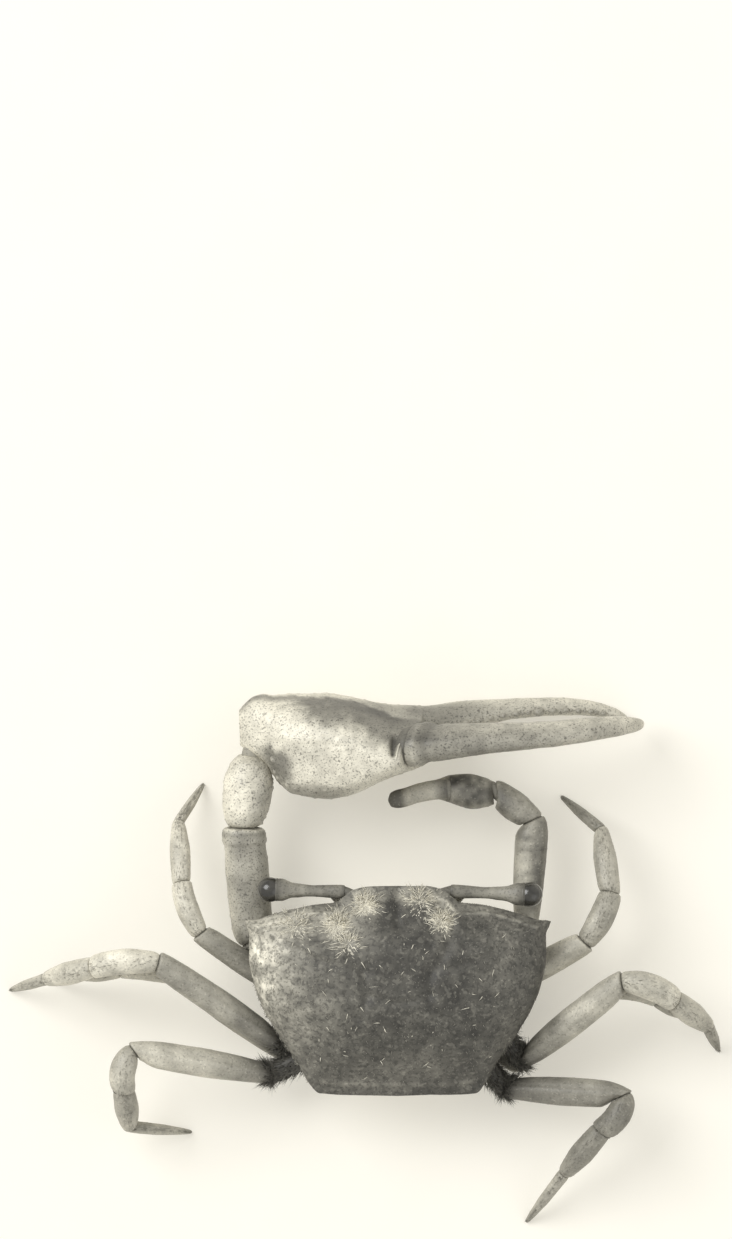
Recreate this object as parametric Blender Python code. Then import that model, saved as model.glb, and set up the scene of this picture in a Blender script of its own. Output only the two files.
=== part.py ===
"""A life-size male fiddler crab, standing, with its great claw folded in front of its face.

Sizes are in millimetres. Places are measured from the middle of the carapace's front edge,
at floor level: x to the crab's left, y to its rear, z up. A right-hand piece is made in the
left-hand sense and then mirrored. BODY_AT puts the whole crab's middle at the origin.
"""

import math

import bmesh
import bpy
import numpy as np

MM = 0.001
GAP = 0.3
BODY_AT = np.array((-2.786, -6.314, 0.0))
UP = np.array((0.0, 0.0, 1.0))

# Carapace: half of its edge seen from above, from the middle of the front to the rear
CARAPACE_EDGE = (
    (0.0, 0.0), (2.4, 0.05), (3.7, 0.3), (4.5, 0.85), (5.2, 1.35), (7.3, 1.65), (10.1, 2.3),
    (11.9, 2.85),
    (13.05, 3.0), (12.6, 4.2), (12.6, 6.0), (12.15, 8.4), (11.5, 10.2), (10.5, 12.0),
    (9.5, 13.5), (8.3, 15.3), (7.4, 16.9), (6.6, 17.65), (3.4, 17.8), (0.0, 17.85))
CARAPACE_MIDDLE = 8.6
EDGE_SPAN = 2.0
RIM = 0.4
CARAPACE_RINGS = (1.0, 0.97, 0.9, 0.79, 0.62, 0.42, 0.2)

# Thorax levels under the carapace: height, half width, front, rear
THORAX_LEVELS = (
    (5.3, 7.4, 1.5, 16.3), (4.0, 6.6, 2.1, 15.6), (2.4, 6.2, 3.2, 14.0), (1.75, 5.4, 4.0, 13.2))
THORAX_POWER = 2.8
FLANK = 1.5

# Eyes: stalk axis from its root to the cornea, for each side
STALK_ROOT = 4.8
STALK_Z = 9.15
STALK_WIDE = 1.15
EYES = {"l": (0.55, 0.34, 10.8), "r": (0.5, 0.75, 11.2)}
CORNEA = (1.12, 1.05, 1.05)

# Great claw, in its own frame: along its length, up to its back edge, out to its outer face
CLAW_AT = np.array((13.47, -14.47, 0.05))
CLAW_ROLL = math.radians(15.0)
CLAW_TURN = math.radians(2.2)
FINGER_ROOT = 15.7
GAPE_HEIGHT = 7.3
JOINT_SLANT = 0.4
SLANT_START = 9.0

# Teeth on the biting edges: along the claw on the fixed finger, shares of the movable one
TEETH = 13
TOOTH_HEIGHTS = (0.3, 0.44)
FIXED_TEETH = (18.2, 31.0)
MOVABLE_TEETH = (0.14, 0.85)
MAIN_TOOTH = 25.5
MAIN_TOOTH_HEIGHT = 0.8

# Walking legs: bulk, socket (y, z) on the thorax, hip, then for the merus, carpus, propodus and
# dactyl the reach in plan, the heading forward of straight out, and the height of the far end
LEGS = {
    "leg_2_l": (2.1, (7.3, 3.9), (9.0, 9.4, 3.8),
                ((9.4, 34.5, 6.9), (4.5, 69, 6.3), (5.2, 87, 3.6), (3.8, 123, 0.0))),
    "leg_3_l": (2.4, (10.7, 4.2), (9.9, 13.6, 4.5),
                ((12.6, 34, 8.6), (5.5, -4, 7.9), (4.2, -15, 4.0), (3.3, -18, 0.0))),
    "leg_4_l": (1.8, (12.3, 2.9), (9.6, 14.6, 2.3),
                ((11.4, 36, 5.4), (4.7, 8, 4.8), (3.6, -8, 2.5), (2.3, -15, 0.0))),
    "leg_5_l": (2.45, (13.9, 4.2), (10.8, 16.1, 4.2),
                ((11.8, 10, 8.3), (3.4, -76, 7.6), (3.3, -98, 3.6), (5.2, -174, 0.0))),
    "leg_2_r": (2.4, (7.3, 3.9), (8.4, 9.0, 3.8),
                ((8.6, 29, 6.6), (4.6, 62, 6.2), (5.5, 98, 3.8), (4.3, 140, 0.0))),
    "leg_3_r": (2.5, (10.7, 4.2), (10.6, 15.0, 4.5),
                ((10.9, 39, 8.8), (4.7, -20, 8.3), (3.7, -38, 4.6), (2.4, -65, 0.0))),
    "leg_4_r": (1.8, (12.3, 2.9), (10.0, 15.6, 2.3),
                ((10.5, 38, 5.4), (3.7, -8, 4.8), (3.0, -29, 2.5), (1.9, -39, 0.0))),
    "leg_5_r": (2.45, (13.9, 4.0), (9.2, 17.3, 4.0),
                ((10.2, -3, 6.6), (3.6, -124, 6.2), (4.9, -130, 3.4), (5.3, -127, 0.0))),
}
LEG_WIDTHS = {
    "base": (0.72, 0.76, 0.66),
    "merus": (0.72, 1.0, 0.9),
    "carpus": (0.72, 0.9, 0.84),
    "propodus": (0.74, 0.82, 0.52),
    "dactyl": (0.44, 0.36, 0.12),
}
LEG_ARCH = {"base": 0.0, "merus": 0.25, "carpus": 0.35, "propodus": 0.3, "dactyl": 0.35}
CARPUS_SWING = 0.5
JOINED_BASE = "leg_4"
TIP_HEIGHT = 0.1


# Curves, directions and frames

def curve(stations, values):
    """A smooth curve through the values that never overshoots between two stations."""
    x = np.array(stations, float)
    y = np.array(values, float)
    step = np.diff(x)
    slope = np.diff(y) / step
    tangent = np.zeros(len(x))
    tangent[0] = slope[0]
    tangent[-1] = slope[-1]
    for i in range(1, len(x) - 1):
        if slope[i - 1] * slope[i] > 0.0:
            tangent[i] = 2.0 * slope[i - 1] * slope[i] / (slope[i - 1] + slope[i])

    def at(t):
        i = min(max(int(np.searchsorted(x, t)) - 1, 0), len(step) - 1)
        s = (t - x[i]) / step[i]
        rise = tangent[i] * step[i]
        fall = tangent[i + 1] * step[i]
        return ((1.0 + 2.0 * s) * (1.0 - s) ** 2 * y[i] + s * (1.0 - s) ** 2 * rise
                + s * s * (3.0 - 2.0 * s) * y[i + 1] + s * s * (s - 1.0) * fall)

    return at


def unit(vector):
    """The vector at length one."""
    return np.array(vector, float) / np.linalg.norm(vector)


def superellipse(angle, half_wide, half_deep, power):
    """A point of a rounded box outline: power 2 is an ellipse, more is boxier."""
    cosine = math.cos(angle)
    sine = math.sin(angle)
    return (half_wide * math.copysign(abs(cosine) ** (2.0 / power), cosine),
            half_deep * math.copysign(abs(sine) ** (2.0 / power), sine))


def section(centre, across, lift, half_wide, half_deep, sides, power=2.2):
    """One ring of a limb: a rounded outline in the plane of across and lift."""
    ring = []
    for i in range(sides):
        wide, deep = superellipse(math.tau * i / sides, half_wide, half_deep, power)
        ring.append(centre + wide * across + deep * lift)
    return np.array(ring)


# Solids

def finish_mesh(mesh, name, colour, roughness):
    """Turn a bmesh into a named object with its own material, facing outwards."""
    bmesh.ops.recalc_face_normals(mesh, faces=mesh.faces)
    bmesh.ops.triangulate(mesh, faces=mesh.faces)
    data = bpy.data.meshes.new(name)
    mesh.to_mesh(data)
    mesh.free()
    data.shade_smooth()
    material = bpy.data.materials.new(name)
    material.use_nodes = True
    shader = material.node_tree.nodes["Principled BSDF"]
    shader.inputs["Base Color"].default_value = (*colour, 1.0)
    shader.inputs["Roughness"].default_value = roughness
    data.materials.append(material)
    thing = bpy.data.objects.new(name, data)
    CRAB.objects.link(thing)
    return thing


def loft(name, rings, colour, side=1, roughness=0.5):
    """One closed body through rings of equal counts, with a fan over each end."""
    places = np.array(rings, float)
    places[..., 0] *= side
    places[..., 2] = np.maximum(places[..., 2], 0.0)
    places += BODY_AT
    mesh = bmesh.new()
    loops = [[mesh.verts.new(place * MM) for place in ring] for ring in places]
    sides = places.shape[1]
    for lower, upper in zip(loops, loops[1:]):
        for i in range(sides):
            j = (i + 1) % sides
            mesh.faces.new((lower[i], lower[j], upper[j], upper[i]))
    for loop, ring in ((loops[0], places[0]), (loops[-1], places[-1])):
        middle = mesh.verts.new(ring.mean(axis=0) * MM)
        for i in range(sides):
            mesh.faces.new((loop[i], loop[(i + 1) % sides], middle))
    return finish_mesh(mesh, name, colour, roughness)


def keep_largest(thing):
    """Drop every loose scrap but the body's largest closed surface."""
    mesh = bmesh.new()
    mesh.from_mesh(thing.data)
    unseen = set(mesh.verts)
    shells = []
    while unseen:
        reached = [unseen.pop()]
        shell = []
        while reached:
            vertex = reached.pop()
            shell.append(vertex)
            for edge in vertex.link_edges:
                other = edge.other_vert(vertex)
                if other in unseen:
                    unseen.remove(other)
                    reached.append(other)
        shells.append(shell)
    shells.sort(key=len)
    for shell in shells[:-1]:
        bmesh.ops.delete(mesh, geom=shell, context="VERTS")
    bmesh.ops.triangulate(mesh, faces=mesh.faces)
    mesh.to_mesh(thing.data)
    mesh.free()


def apply_boolean(thing, operation, others):
    """Cut or join the other solids with this one, then remove them."""
    group = bpy.data.collections.new("tools")
    for other in others:
        group.objects.link(other)
    modifier = thing.modifiers.new(operation, "BOOLEAN")
    modifier.operation = operation
    modifier.operand_type = "COLLECTION"
    modifier.collection = group
    bpy.context.view_layer.update()
    evaluated = thing.evaluated_get(bpy.context.evaluated_depsgraph_get())
    data = bpy.data.meshes.new_from_object(evaluated)
    thing.modifiers.clear()
    thing.data = data
    for other in others:
        bpy.data.objects.remove(other)
    bpy.data.collections.remove(group)
    keep_largest(thing)


# Limbs

def tube(start, end, face_start, face_end, wide, deep, bend=(0.0, 0.0, 0.0), sides=12,
         stations=(0.0, 0.06, 0.25, 0.5, 0.75, 0.94, 1.0), power=2.2, pinch=0.8):
    """Rings of one limb segment between two joint faces, rounded in at both rims.

    wide and deep give the full width in plan and the full depth at a share of the length,
    and bend is how far the middle stands off the straight line.
    """
    along = unit(end - start)
    bend = np.array(bend, float)
    length = np.linalg.norm(end - start)
    rings = []
    for t in stations:
        facing = unit(along + 4.0 * (1.0 - 2.0 * t) * bend / length)
        near = max(0.0, 1.0 - t / 0.3) ** 2
        far = max(0.0, 1.0 - (1.0 - t) / 0.3) ** 2
        facing = unit(facing * (1.0 - near - far) + face_start * near + face_end * far)
        across = unit(np.cross(UP, facing))
        lift = np.cross(facing, across)
        size = pinch if t in (0.0, 1.0) else 1.0
        centre = start + (end - start) * t + 4.0 * t * (1.0 - t) * bend
        rings.append(section(centre, across, lift, size * wide(t) / 2.0, size * deep(t) / 2.0,
                             sides, power))
    return rings


def limb(joints, first_face, last_face=None):
    """Start, end and joint faces of each segment, with GAP left between neighbours."""
    joints = [np.array(joint, float) for joint in joints]
    ways = [unit(b - a) for a, b in zip(joints, joints[1:])]
    faces = [unit(first_face)]
    faces += [unit(a + b) for a, b in zip(ways, ways[1:])]
    faces.append(ways[-1] if last_face is None else unit(last_face))
    spans = []
    for i, way in enumerate(ways):
        start = joints[i] + way * (GAP / 2.0) / float(way @ faces[i])
        end = joints[i + 1]
        if i + 1 < len(ways):
            end = end - way * (GAP / 2.0) / float(way @ faces[i + 1])
        spans.append((start, end, faces[i], faces[i + 1]))
    return spans


def thorax_half(z):
    """Half width, front and rear of the lower thorax at a height."""
    heights = [level[0] for level in THORAX_LEVELS][::-1]
    return [np.interp(z, heights, [level[i] for level in THORAX_LEVELS][::-1])
            for i in (1, 2, 3)]


def thorax_side(y, z):
    """The thorax wall's half width at a place along it, and the way it faces."""
    half, front, rear = thorax_half(z)
    middle = (front + rear) / 2.0
    depth = (rear - front) / 2.0
    share = abs(y - middle) / depth
    x = half * (1.0 - share ** THORAX_POWER) ** (1.0 / THORAX_POWER)
    normal = unit((x ** (THORAX_POWER - 1.0) / half ** THORAX_POWER,
                   math.copysign(share ** (THORAX_POWER - 1.0) / depth, y - middle), 0.0))
    return x, normal


def thorax_end(x, z, end):
    """How far back the thorax's front (-1) or rear (+1) lies at a width and a height."""
    half, front, rear = thorax_half(z)
    share = min(abs(x) / half, 1.0)
    depth = (rear - front) / 2.0 * (1.0 - share ** THORAX_POWER) ** (1.0 / THORAX_POWER)
    return (front + rear) / 2.0 + end * depth


def socket(y, z, depth):
    """Where a limb's root stands off the thorax wall, measured at the root's upper edge."""
    x, normal = thorax_side(y, z + depth / 2.0)
    return np.array((x, y, z)) + normal * (GAP / 2.0 + 0.05), normal


def walking_leg(name, bulk, root, hip, steps):
    """The five segments of a walking leg, from the thorax to its tip on the floor."""
    side = 1 if name.endswith("l") else -1
    first, facing = socket(*root, LEG_WIDTHS["base"][0] * bulk)
    joints = [first, np.array(hip, float)]
    for reach, heading, height in steps:
        turn = math.radians(heading)
        x = joints[-1][0] + reach * math.cos(turn)
        y = joints[-1][1] - reach * math.sin(turn)
        joints.append(np.array((x, y, max(height, TIP_HEIGHT))))
    spans = limb(joints, facing)
    ways = [facing] + [unit(end - start) for start, end, *faces in spans]
    turns = [math.sqrt(unit(a + b) @ b) for a, b in zip(ways, ways[1:])] + [1.0]
    tubes = {}
    for i, part in enumerate(LEG_WIDTHS):
        start, middle, end = (share * bulk for share in LEG_WIDTHS[part])
        wide = curve((0.0, 0.2, 0.5, 0.8, 1.0),
                     (start * turns[i], (start + middle) / 2.0, middle,
                      (middle + end) / 2.0, max(end * turns[i + 1], 0.3)))
        swing = ways[i] - (ways[i] @ ways[i + 1]) * ways[i + 1]
        bend = LEG_ARCH[part] * UP + (CARPUS_SWING * swing if part == "carpus" else 0.0)
        tubes[part] = tube(*spans[i], wide, wide, bend, sides=10)
    if name.startswith(JOINED_BASE):
        tubes["merus"] = tubes.pop("base")[:-1] + tubes["merus"][1:]
    for part, rings in tubes.items():
        loft(f"{name}_{part}", rings, LEG_COLOUR, side)


# Claws

def claw_frame(at, roll, turn):
    """Origin and axes of a claw: along its length, up to its back edge, out to its outer face."""
    length = np.array((-math.cos(turn), -math.sin(turn), 0.0))
    outwards = np.array((math.sin(turn), -math.cos(turn), 0.0))
    back = math.cos(roll) * UP - math.sin(roll) * outwards
    outer = math.cos(roll) * outwards + math.sin(roll) * UP
    return at, length, back, outer


def slanted(ring, frame, amount):
    """Lean a ring back along the claw by an amount for each millimetre above the gape."""
    at, length, back, outer = frame
    rise = np.maximum((ring - at) @ back - GAPE_HEIGHT, 0.0)
    return ring - amount * rise[:, None] * length


def tooth(root, way, along, height):
    """A blunt five-sided cone that stands on a finger's biting edge, its root sunk well in."""
    across = np.cross(way, along)
    rings = [section(root + way * height * rise, across, along, height * wide, height * wide, 5, 2.0)
             for rise, wide in ((-1.2, 0.8), (0.3, 0.7), (1.0, 0.2))]
    return loft("tooth", rings, CLAW_COLOUR)


def hand_rings(frame, stations, top, bottom, thick, inwards, sides, power):
    """Rings of a hand and its fixed finger, whose outlines are curves along the length."""
    at, length, back, outer = frame
    rings = []
    for l in stations:
        middle = (top(l) + bottom(l)) / 2.0
        centre = at + l * length + middle * back - inwards(l) * outer
        rings.append(section(centre, outer, back, thick(l) / 2.0, (top(l) - bottom(l)) / 2.0,
                             sides, power(l)))
    return rings


def finger_rings(frame, along, height, depth, thick, inwards, shares, sides):
    """Rings of a movable finger square to its own curved axis; the first stays upright."""
    at, length, back, outer = frame
    rings = []
    for s in shares:
        step = 0.01
        way = unit(((along(s + step) - along(s - step)), (height(s + step) - height(s - step))))
        if s == shares[0]:
            way = np.array((1.0, 0.0))
        lift = way[0] * back - way[1] * length
        centre = at + along(s) * length + height(s) * back - inwards(s) * outer
        rings.append(section(centre, outer, lift, thick(s) / 2.0, depth(s) / 2.0, sides))
    return rings


def great_claw():
    """Base, merus, carpus, hand and movable finger of the left cheliped."""
    first, facing = socket(5.2, 4.1, 2.9)
    joints = (first, (12.3, 4.4, 4.6), (13.1, -4.9, 5.6), (12.4, -11.0, 6.1))
    spans = limb(joints, facing)
    base = curve((0.0, 0.5, 1.0), (2.8, 3.1, 3.2))
    merus = curve((0.0, 0.12, 0.6, 1.0), (3.0, 3.5, 3.7, 3.3))
    carpus = curve((0.0, 0.25, 0.6, 0.85, 1.0), (2.9, 3.9, 4.15, 3.4, 2.3))
    loft("claw_l_base", tube(*spans[0], base, base, sides=14), CLAW_COLOUR)
    loft("claw_l_merus", tube(*spans[1], merus, merus, sides=16), CLAW_COLOUR)
    rings = tube(*spans[2], carpus, carpus, 0.3 * UP, sides=16)
    loft("claw_l_carpus", rings, CLAW_COLOUR)
    clear = curve((0.0, 0.25, 0.6, 0.85, 1.0), [w + 2.0 * GAP for w in (2.9, 3.9, 4.15, 3.4, 2.5)])
    start, end, face_start, face_end = spans[2]
    longer = (start, end + unit(end - start) * GAP, face_start, face_end)
    room = loft("room", tube(*longer, clear, clear, 0.3 * UP, sides=16), CLAW_COLOUR)

    frame = claw_frame(CLAW_AT, CLAW_ROLL, CLAW_TURN)
    palm_top = curve((0.0, 0.8, 1.8, 4.1, 7.4, 11.2, 14.2, 15.4),
                     (7.2, 8.1, 8.7, 10.5, 11.7, 12.55, 12.75, 12.55))
    finger_top = curve((FINGER_ROOT, 16.4, 17.6, 18.9, 22.4, 27.3, 30.1, 32.1, 33.0),
                       (7.3, 6.6, 5.3, 4.5, 3.65, 2.6, 2.15, 1.95, 1.6))
    bottom = curve((0.0, 0.7, 2.3, 5.4, 9.2, 15.0, 21.4, 26.5, 30.3, 32.4, 33.0),
                   (5.4, 4.4, 2.9, 1.35, 0.75, 0.35, 0.1, 0.0, 0.35, 0.95, 1.4))
    thick = curve((0.0, 1.0, 2.0, 3.0, 4.25, 7.2, 9.4, 11.3, 13.4, 16.0, 18.4, 21.0, 23.5, 31.0,
                   33.0),
                  (2.2, 3.6, 5.4, 7.0, 8.0, 8.3, 7.5, 6.2, 5.0, 4.0, 2.9, 2.0, 1.5, 1.1, 0.4))
    inwards = curve((0.0, 1.0, 2.0, 3.0, 4.25, 7.2, 13.4, 16.0, 18.4, 21.0, 23.5, 27.0, 30.0, 33.0),
                    (-0.5, -0.45, -0.3, 0.55, 1.1, 1.35, 1.25, 1.1, 0.55, 0.15, -0.05, -0.05, 0.2,
                     0.6))
    power = curve((0.0, 4.0, 9.0, 14.0, 33.0), (2.2, 3.0, 2.7, 2.2, 2.1))

    def top(l):
        return palm_top(l) if l < FINGER_ROOT - 0.1 else finger_top(l)

    stations = (0.0, 0.5, 1.2, 2.0, 3.0, 4.3, 6.0, 8.0, 10.0, 12.0, 14.0, 15.4, FINGER_ROOT,
                16.6, 17.8, 19.5, 21.5, 23.5, 25.5, 27.5, 29.5, 31.0, 32.2, 33.0)
    rings = hand_rings(frame, stations, top, bottom, thick, inwards, 20, power)
    reach = FINGER_ROOT - SLANT_START
    leans = [JOINT_SLANT * min(max((l - SLANT_START) / reach, 0.0), 1.0) ** 2 for l in stations]
    rings = [slanted(ring, frame, lean) for ring, lean in zip(rings, leans)]
    hand = loft("claw_l_hand", rings, CLAW_COLOUR)
    apply_boolean(hand, "DIFFERENCE", [room])
    at, length, back, outer = frame
    random = np.random.default_rng(7)
    teeth = []
    places = [*np.linspace(*FIXED_TEETH, TEETH), MAIN_TOOTH]
    sizes = [*random.uniform(*TOOTH_HEIGHTS, TEETH), MAIN_TOOTH_HEIGHT]
    for l, size in zip(places, sizes):
        root = at + l * length + finger_top(l) * back - inwards(l) * outer
        teeth.append(tooth(root, back, length, size))
    apply_boolean(hand, "UNION", teeth)

    shares = (0.0, 0.05, 0.17, 0.31, 0.45, 0.58, 0.7, 0.8, 0.88, 0.94, 0.98, 1.0)
    marks = (0.0, 0.15, 0.33, 0.51, 0.68, 0.83, 0.93, 1.0)
    along = curve(marks, (FINGER_ROOT + GAP, 18.9, 22.7, 26.5, 29.8, 32.3, 33.7, 34.0))
    height = curve(marks, (9.8, 10.0, 9.95, 9.2, 8.0, 6.3, 4.25, 2.2))
    depth = curve(marks, (4.5, 4.45, 4.1, 3.5, 2.9, 2.3, 1.5, 0.3))
    thickness = curve(marks, (3.5, 2.75, 2.3, 2.3, 2.05, 1.75, 1.3, 0.4))
    lean = curve((0.0, 0.15, 0.33, 0.51, 0.68, 0.83, 1.0), (0.6, 0.35, 0.15, 0.1, 0.2, 0.5, 1.4))
    rings = finger_rings(frame, along, height, depth, thickness, lean, shares, 16)
    rings = [slanted(ring, frame, JOINT_SLANT * max(0.0, 1.0 - share / 0.3))
             for ring, share in zip(rings, shares)]
    finger = loft("claw_l_finger", rings, CLAW_COLOUR)
    teeth = []
    for s, size in zip(np.linspace(*MOVABLE_TEETH, TEETH), random.uniform(*TOOTH_HEIGHTS, TEETH)):
        forward = unit((along(s + 0.01) - along(s - 0.01), height(s + 0.01) - height(s - 0.01)))
        lift = forward[0] * back - forward[1] * length
        root = (at + along(s) * length + height(s) * back - lean(s) * outer
                - depth(s) / 2.0 * lift)
        teeth.append(tooth(root, -lift, np.cross(outer, lift), size))
    apply_boolean(finger, "UNION", teeth)


def small_claw():
    """Base, merus, carpus, hand and movable finger of the right cheliped."""
    first, facing = socket(5.0, 4.1, 2.1)
    frame = claw_frame(np.array((8.15, -7.85, 3.4)), 0.0, math.radians(-3.5))
    joints = (first, (10.9, 3.6, 4.4), (11.5, -5.5, 5.0), (8.45, -7.87, 4.9))
    spans = limb(joints, facing, frame[1])
    base = curve((0.0, 0.5, 1.0), (2.0, 2.2, 2.2))
    merus = curve((0.0, 0.4, 0.85, 1.0), (2.1, 2.6, 2.8, 2.4))
    carpus = curve((0.0, 0.5, 1.0), (1.9, 2.5, 1.7))
    loft("claw_r_base", tube(*spans[0], base, base, sides=12), CLAW_COLOUR, -1)
    loft("claw_r_merus", tube(*spans[1], merus, merus, sides=12), CLAW_COLOUR, -1)
    loft("claw_r_carpus", tube(*spans[2], carpus, carpus, 0.2 * UP, sides=12), CLAW_COLOUR, -1)

    palm_top = curve((0.0, 0.5, 1.4, 2.4, 3.6), (2.1, 2.6, 2.95, 3.0, 2.8))
    finger_top = curve((3.8, 5.0, 6.5, 8.0, 8.7), (1.5, 1.35, 1.15, 0.95, 0.8))
    bottom = curve((0.0, 0.5, 1.4, 3.0, 6.0, 8.0, 8.7), (0.9, 0.4, 0.1, 0.0, 0.1, 0.3, 0.5))
    thick = curve((0.0, 0.6, 2.0, 3.6, 5.0, 7.5, 8.3, 8.7), (1.4, 2.2, 3.0, 2.4, 1.6, 1.6, 1.2, 0.5))
    level = curve((0.0, 2.0, 4.0, 8.7), (0.0, -0.2, 0.0, 0.0))
    power = curve((0.0, 8.7), (2.2, 2.2))

    def top(l):
        return palm_top(l) if l < 3.7 else finger_top(l)

    stations = (0.0, 0.4, 1.2, 2.2, 3.2, 3.6, 3.8, 4.6, 5.6, 6.6, 7.6, 8.3, 8.7)
    rings = hand_rings(frame, stations, top, bottom, thick, level, 12, power)
    loft("claw_r_hand", rings, CLAW_COLOUR, -1)
    marks = (0.0, 0.4, 0.8, 1.0)
    along = curve(marks, (3.8 + GAP, 6.0, 8.0, 8.9))
    height = curve(marks, (2.3, 2.15, 1.75, 1.4))
    depth = curve(marks, (1.1, 1.0, 0.7, 0.3))
    thickness = curve(marks, (1.7, 1.65, 1.6, 0.7))
    shares = (0.0, 0.06, 0.25, 0.5, 0.7, 0.88, 1.0)
    rings = finger_rings(frame, along, height, depth, thickness, level, shares, 12)
    loft("claw_r_finger", rings, CLAW_COLOUR, -1)


# Body

def carapace_edge():
    """The carapace's whole edge, counter-clockwise from the middle of its front."""
    half = []
    for a, b in zip(CARAPACE_EDGE, CARAPACE_EDGE[1:]):
        count = max(1, math.ceil(math.dist(a, b) / EDGE_SPAN))
        for i in range(count):
            half.append((a[0] + (b[0] - a[0]) * i / count, a[1] + (b[1] - a[1]) * i / count))
    half.append(CARAPACE_EDGE[-1])
    return np.array(half + [(-x, y) for x, y in half[-2:0:-1]])


def edge_height(y):
    """Height of the carapace's edge, which falls to the rear."""
    return curve((0.0, 3.0, 8.0, 13.0, 17.85), (10.3, 9.9, 9.3, 8.4, 7.5))(y)


def ridge_height(y):
    """Height of the carapace along its middle."""
    return curve((0.0, 2.0, 6.0, 10.0, 14.0, 17.85), (10.3, 11.7, 12.9, 12.85, 11.5, 7.9))(y)


def dome(share):
    """Rise from the carapace's edge (0) to its middle (1) at a share of the way out."""
    return (1.0 - share ** 3) ** 0.6


def under_height(y, share):
    """Height of the carapace's lower face."""
    return edge_height(y) * share + 8.2 * (1.0 - share) - RIM


def body_ring(edge, share, height):
    """A ring at a share of the way from the body's middle to the carapace's edge."""
    ring = []
    for x, y in edge:
        inner = CARAPACE_MIDDLE + (y - CARAPACE_MIDDLE) * share
        ring.append((x * share, inner, height(y, inner)))
    return ring


def carapace(edge):
    """The domed shell, with a thin rim and a nearly flat lower face."""
    rings = []
    for share in (0.45, 0.9):
        rings.append(body_ring(edge, share, lambda y, inner: under_height(y, share)))
    rings.append(body_ring(edge, 0.995, lambda y, inner: edge_height(y) - RIM))
    for share in CARAPACE_RINGS:
        rings.append(body_ring(edge, share, lambda y, inner: edge_height(y) + dome(share)
                               * (ridge_height(inner) - edge_height(y))))
    loft("carapace", rings, SHELL_COLOUR)


def thorax(edge):
    """The body below the carapace: flanks, mouth region and sternum."""
    rings = []
    for share in (0.45, 0.9, 0.93):
        rings.append(body_ring(edge, share, lambda y, inner: under_height(y, share) - GAP))
    angles = [math.atan2(CARAPACE_MIDDLE - y, x) for x, y in edge]

    def level(z, half, front, rear):
        ring = []
        for angle in angles:
            x, forward = superellipse(angle, half, (rear - front) / 2.0, THORAX_POWER)
            ring.append((x, (front + rear) / 2.0 - forward, z))
        return np.array(ring)

    flank = np.array(body_ring(edge, 0.86, lambda y, inner: edge_height(y) - FLANK))
    rounded = level(0.0, 10.4, 1.1, 16.9)
    rounded[:, 2] = flank[:, 2]
    rings.append((flank + rounded) / 2.0)
    for values in THORAX_LEVELS:
        rings.append(level(*values))
    loft("thorax", rings, BELLY_COLOUR)


def maxilliped(side, name):
    """One plate of the outer mouthparts, lying against the thorax's front."""
    rings = []
    for z in np.linspace(2.6, 5.2, 6):
        widest = 2.9 - 0.5 * ((z - 4.2) / 1.6) ** 2
        across = np.linspace(0.2, widest, 4)
        wall = [(x, thorax_end(x, z, -1) - GAP - 0.1, z) for x in across]
        face = [(x, y - 0.5 - 0.25 * math.sin(math.pi * i / 3.0), z)
                for i, (x, y, z) in enumerate(wall)]
        rings.append(wall + face[::-1])
    loft(name, rings, BELLY_COLOUR, side)


def abdomen():
    """The narrow tail folded under the thorax, from its rear wall to the middle of the belly."""
    stations = ((4.9, 4.6, 1.0, 0.0), (4.0, 4.4, 1.0, 0.0), (2.9, 4.1, 1.0, 0.0),
                (2.3, 3.8, 0.9, -0.45))
    rings = []
    for z, half, rearward, downward in stations:
        ring = []
        for off in (GAP + 0.05, GAP + 0.65):
            xs = np.linspace(-half, half, 6)
            row = [(x, thorax_end(x, z, 1) + rearward * off, z + downward * off) for x in xs]
            ring += row if off < 0.5 else row[::-1]
        rings.append(ring)
    floor = THORAX_LEVELS[-1][0]
    for y, half in ((12.9, 3.4), (11.0, 2.8), (8.5, 2.3), (6.5, 1.6), (5.9, 0.9)):
        ring = [(x, y + (0.35 if y > 12.0 else 0.0), floor - GAP - 0.05)
                for x in np.linspace(-half, half, 6)]
        ring += [(x, y + (0.9 if y > 12.0 else 0.0), floor - GAP - 0.65)
                 for x in np.linspace(half, -half, 6)]
        rings.append(ring)
    loft("abdomen", rings, BELLY_COLOUR)


def eye(key, side):
    """An eyestalk lying along the carapace's front edge, and its cornea."""
    root_y, end_y, reach = EYES[key]
    start = np.array((STALK_ROOT, root_y, STALK_Z))
    end = np.array((reach - CORNEA[0] - GAP, end_y, STALK_Z + 0.05))
    way = unit(end - start)
    wide = curve((0.0, 0.4, 1.0), (STALK_WIDE, STALK_WIDE * 0.9, STALK_WIDE * 1.15))
    loft(f"eyestalk_{key}", tube(start, end, way, way, wide, wide), STALK_COLOUR, side)
    mesh = bmesh.new()
    bmesh.ops.create_uvsphere(mesh, u_segments=16, v_segments=10, radius=1.0)
    centre = np.array((reach * side, end_y, STALK_Z)) + BODY_AT
    for vertex in mesh.verts:
        vertex.co = [(centre[i] + CORNEA[i] * vertex.co[i]) * MM for i in range(3)]
    finish_mesh(mesh, f"eye_{key}", EYE_COLOUR, 0.15)


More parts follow.
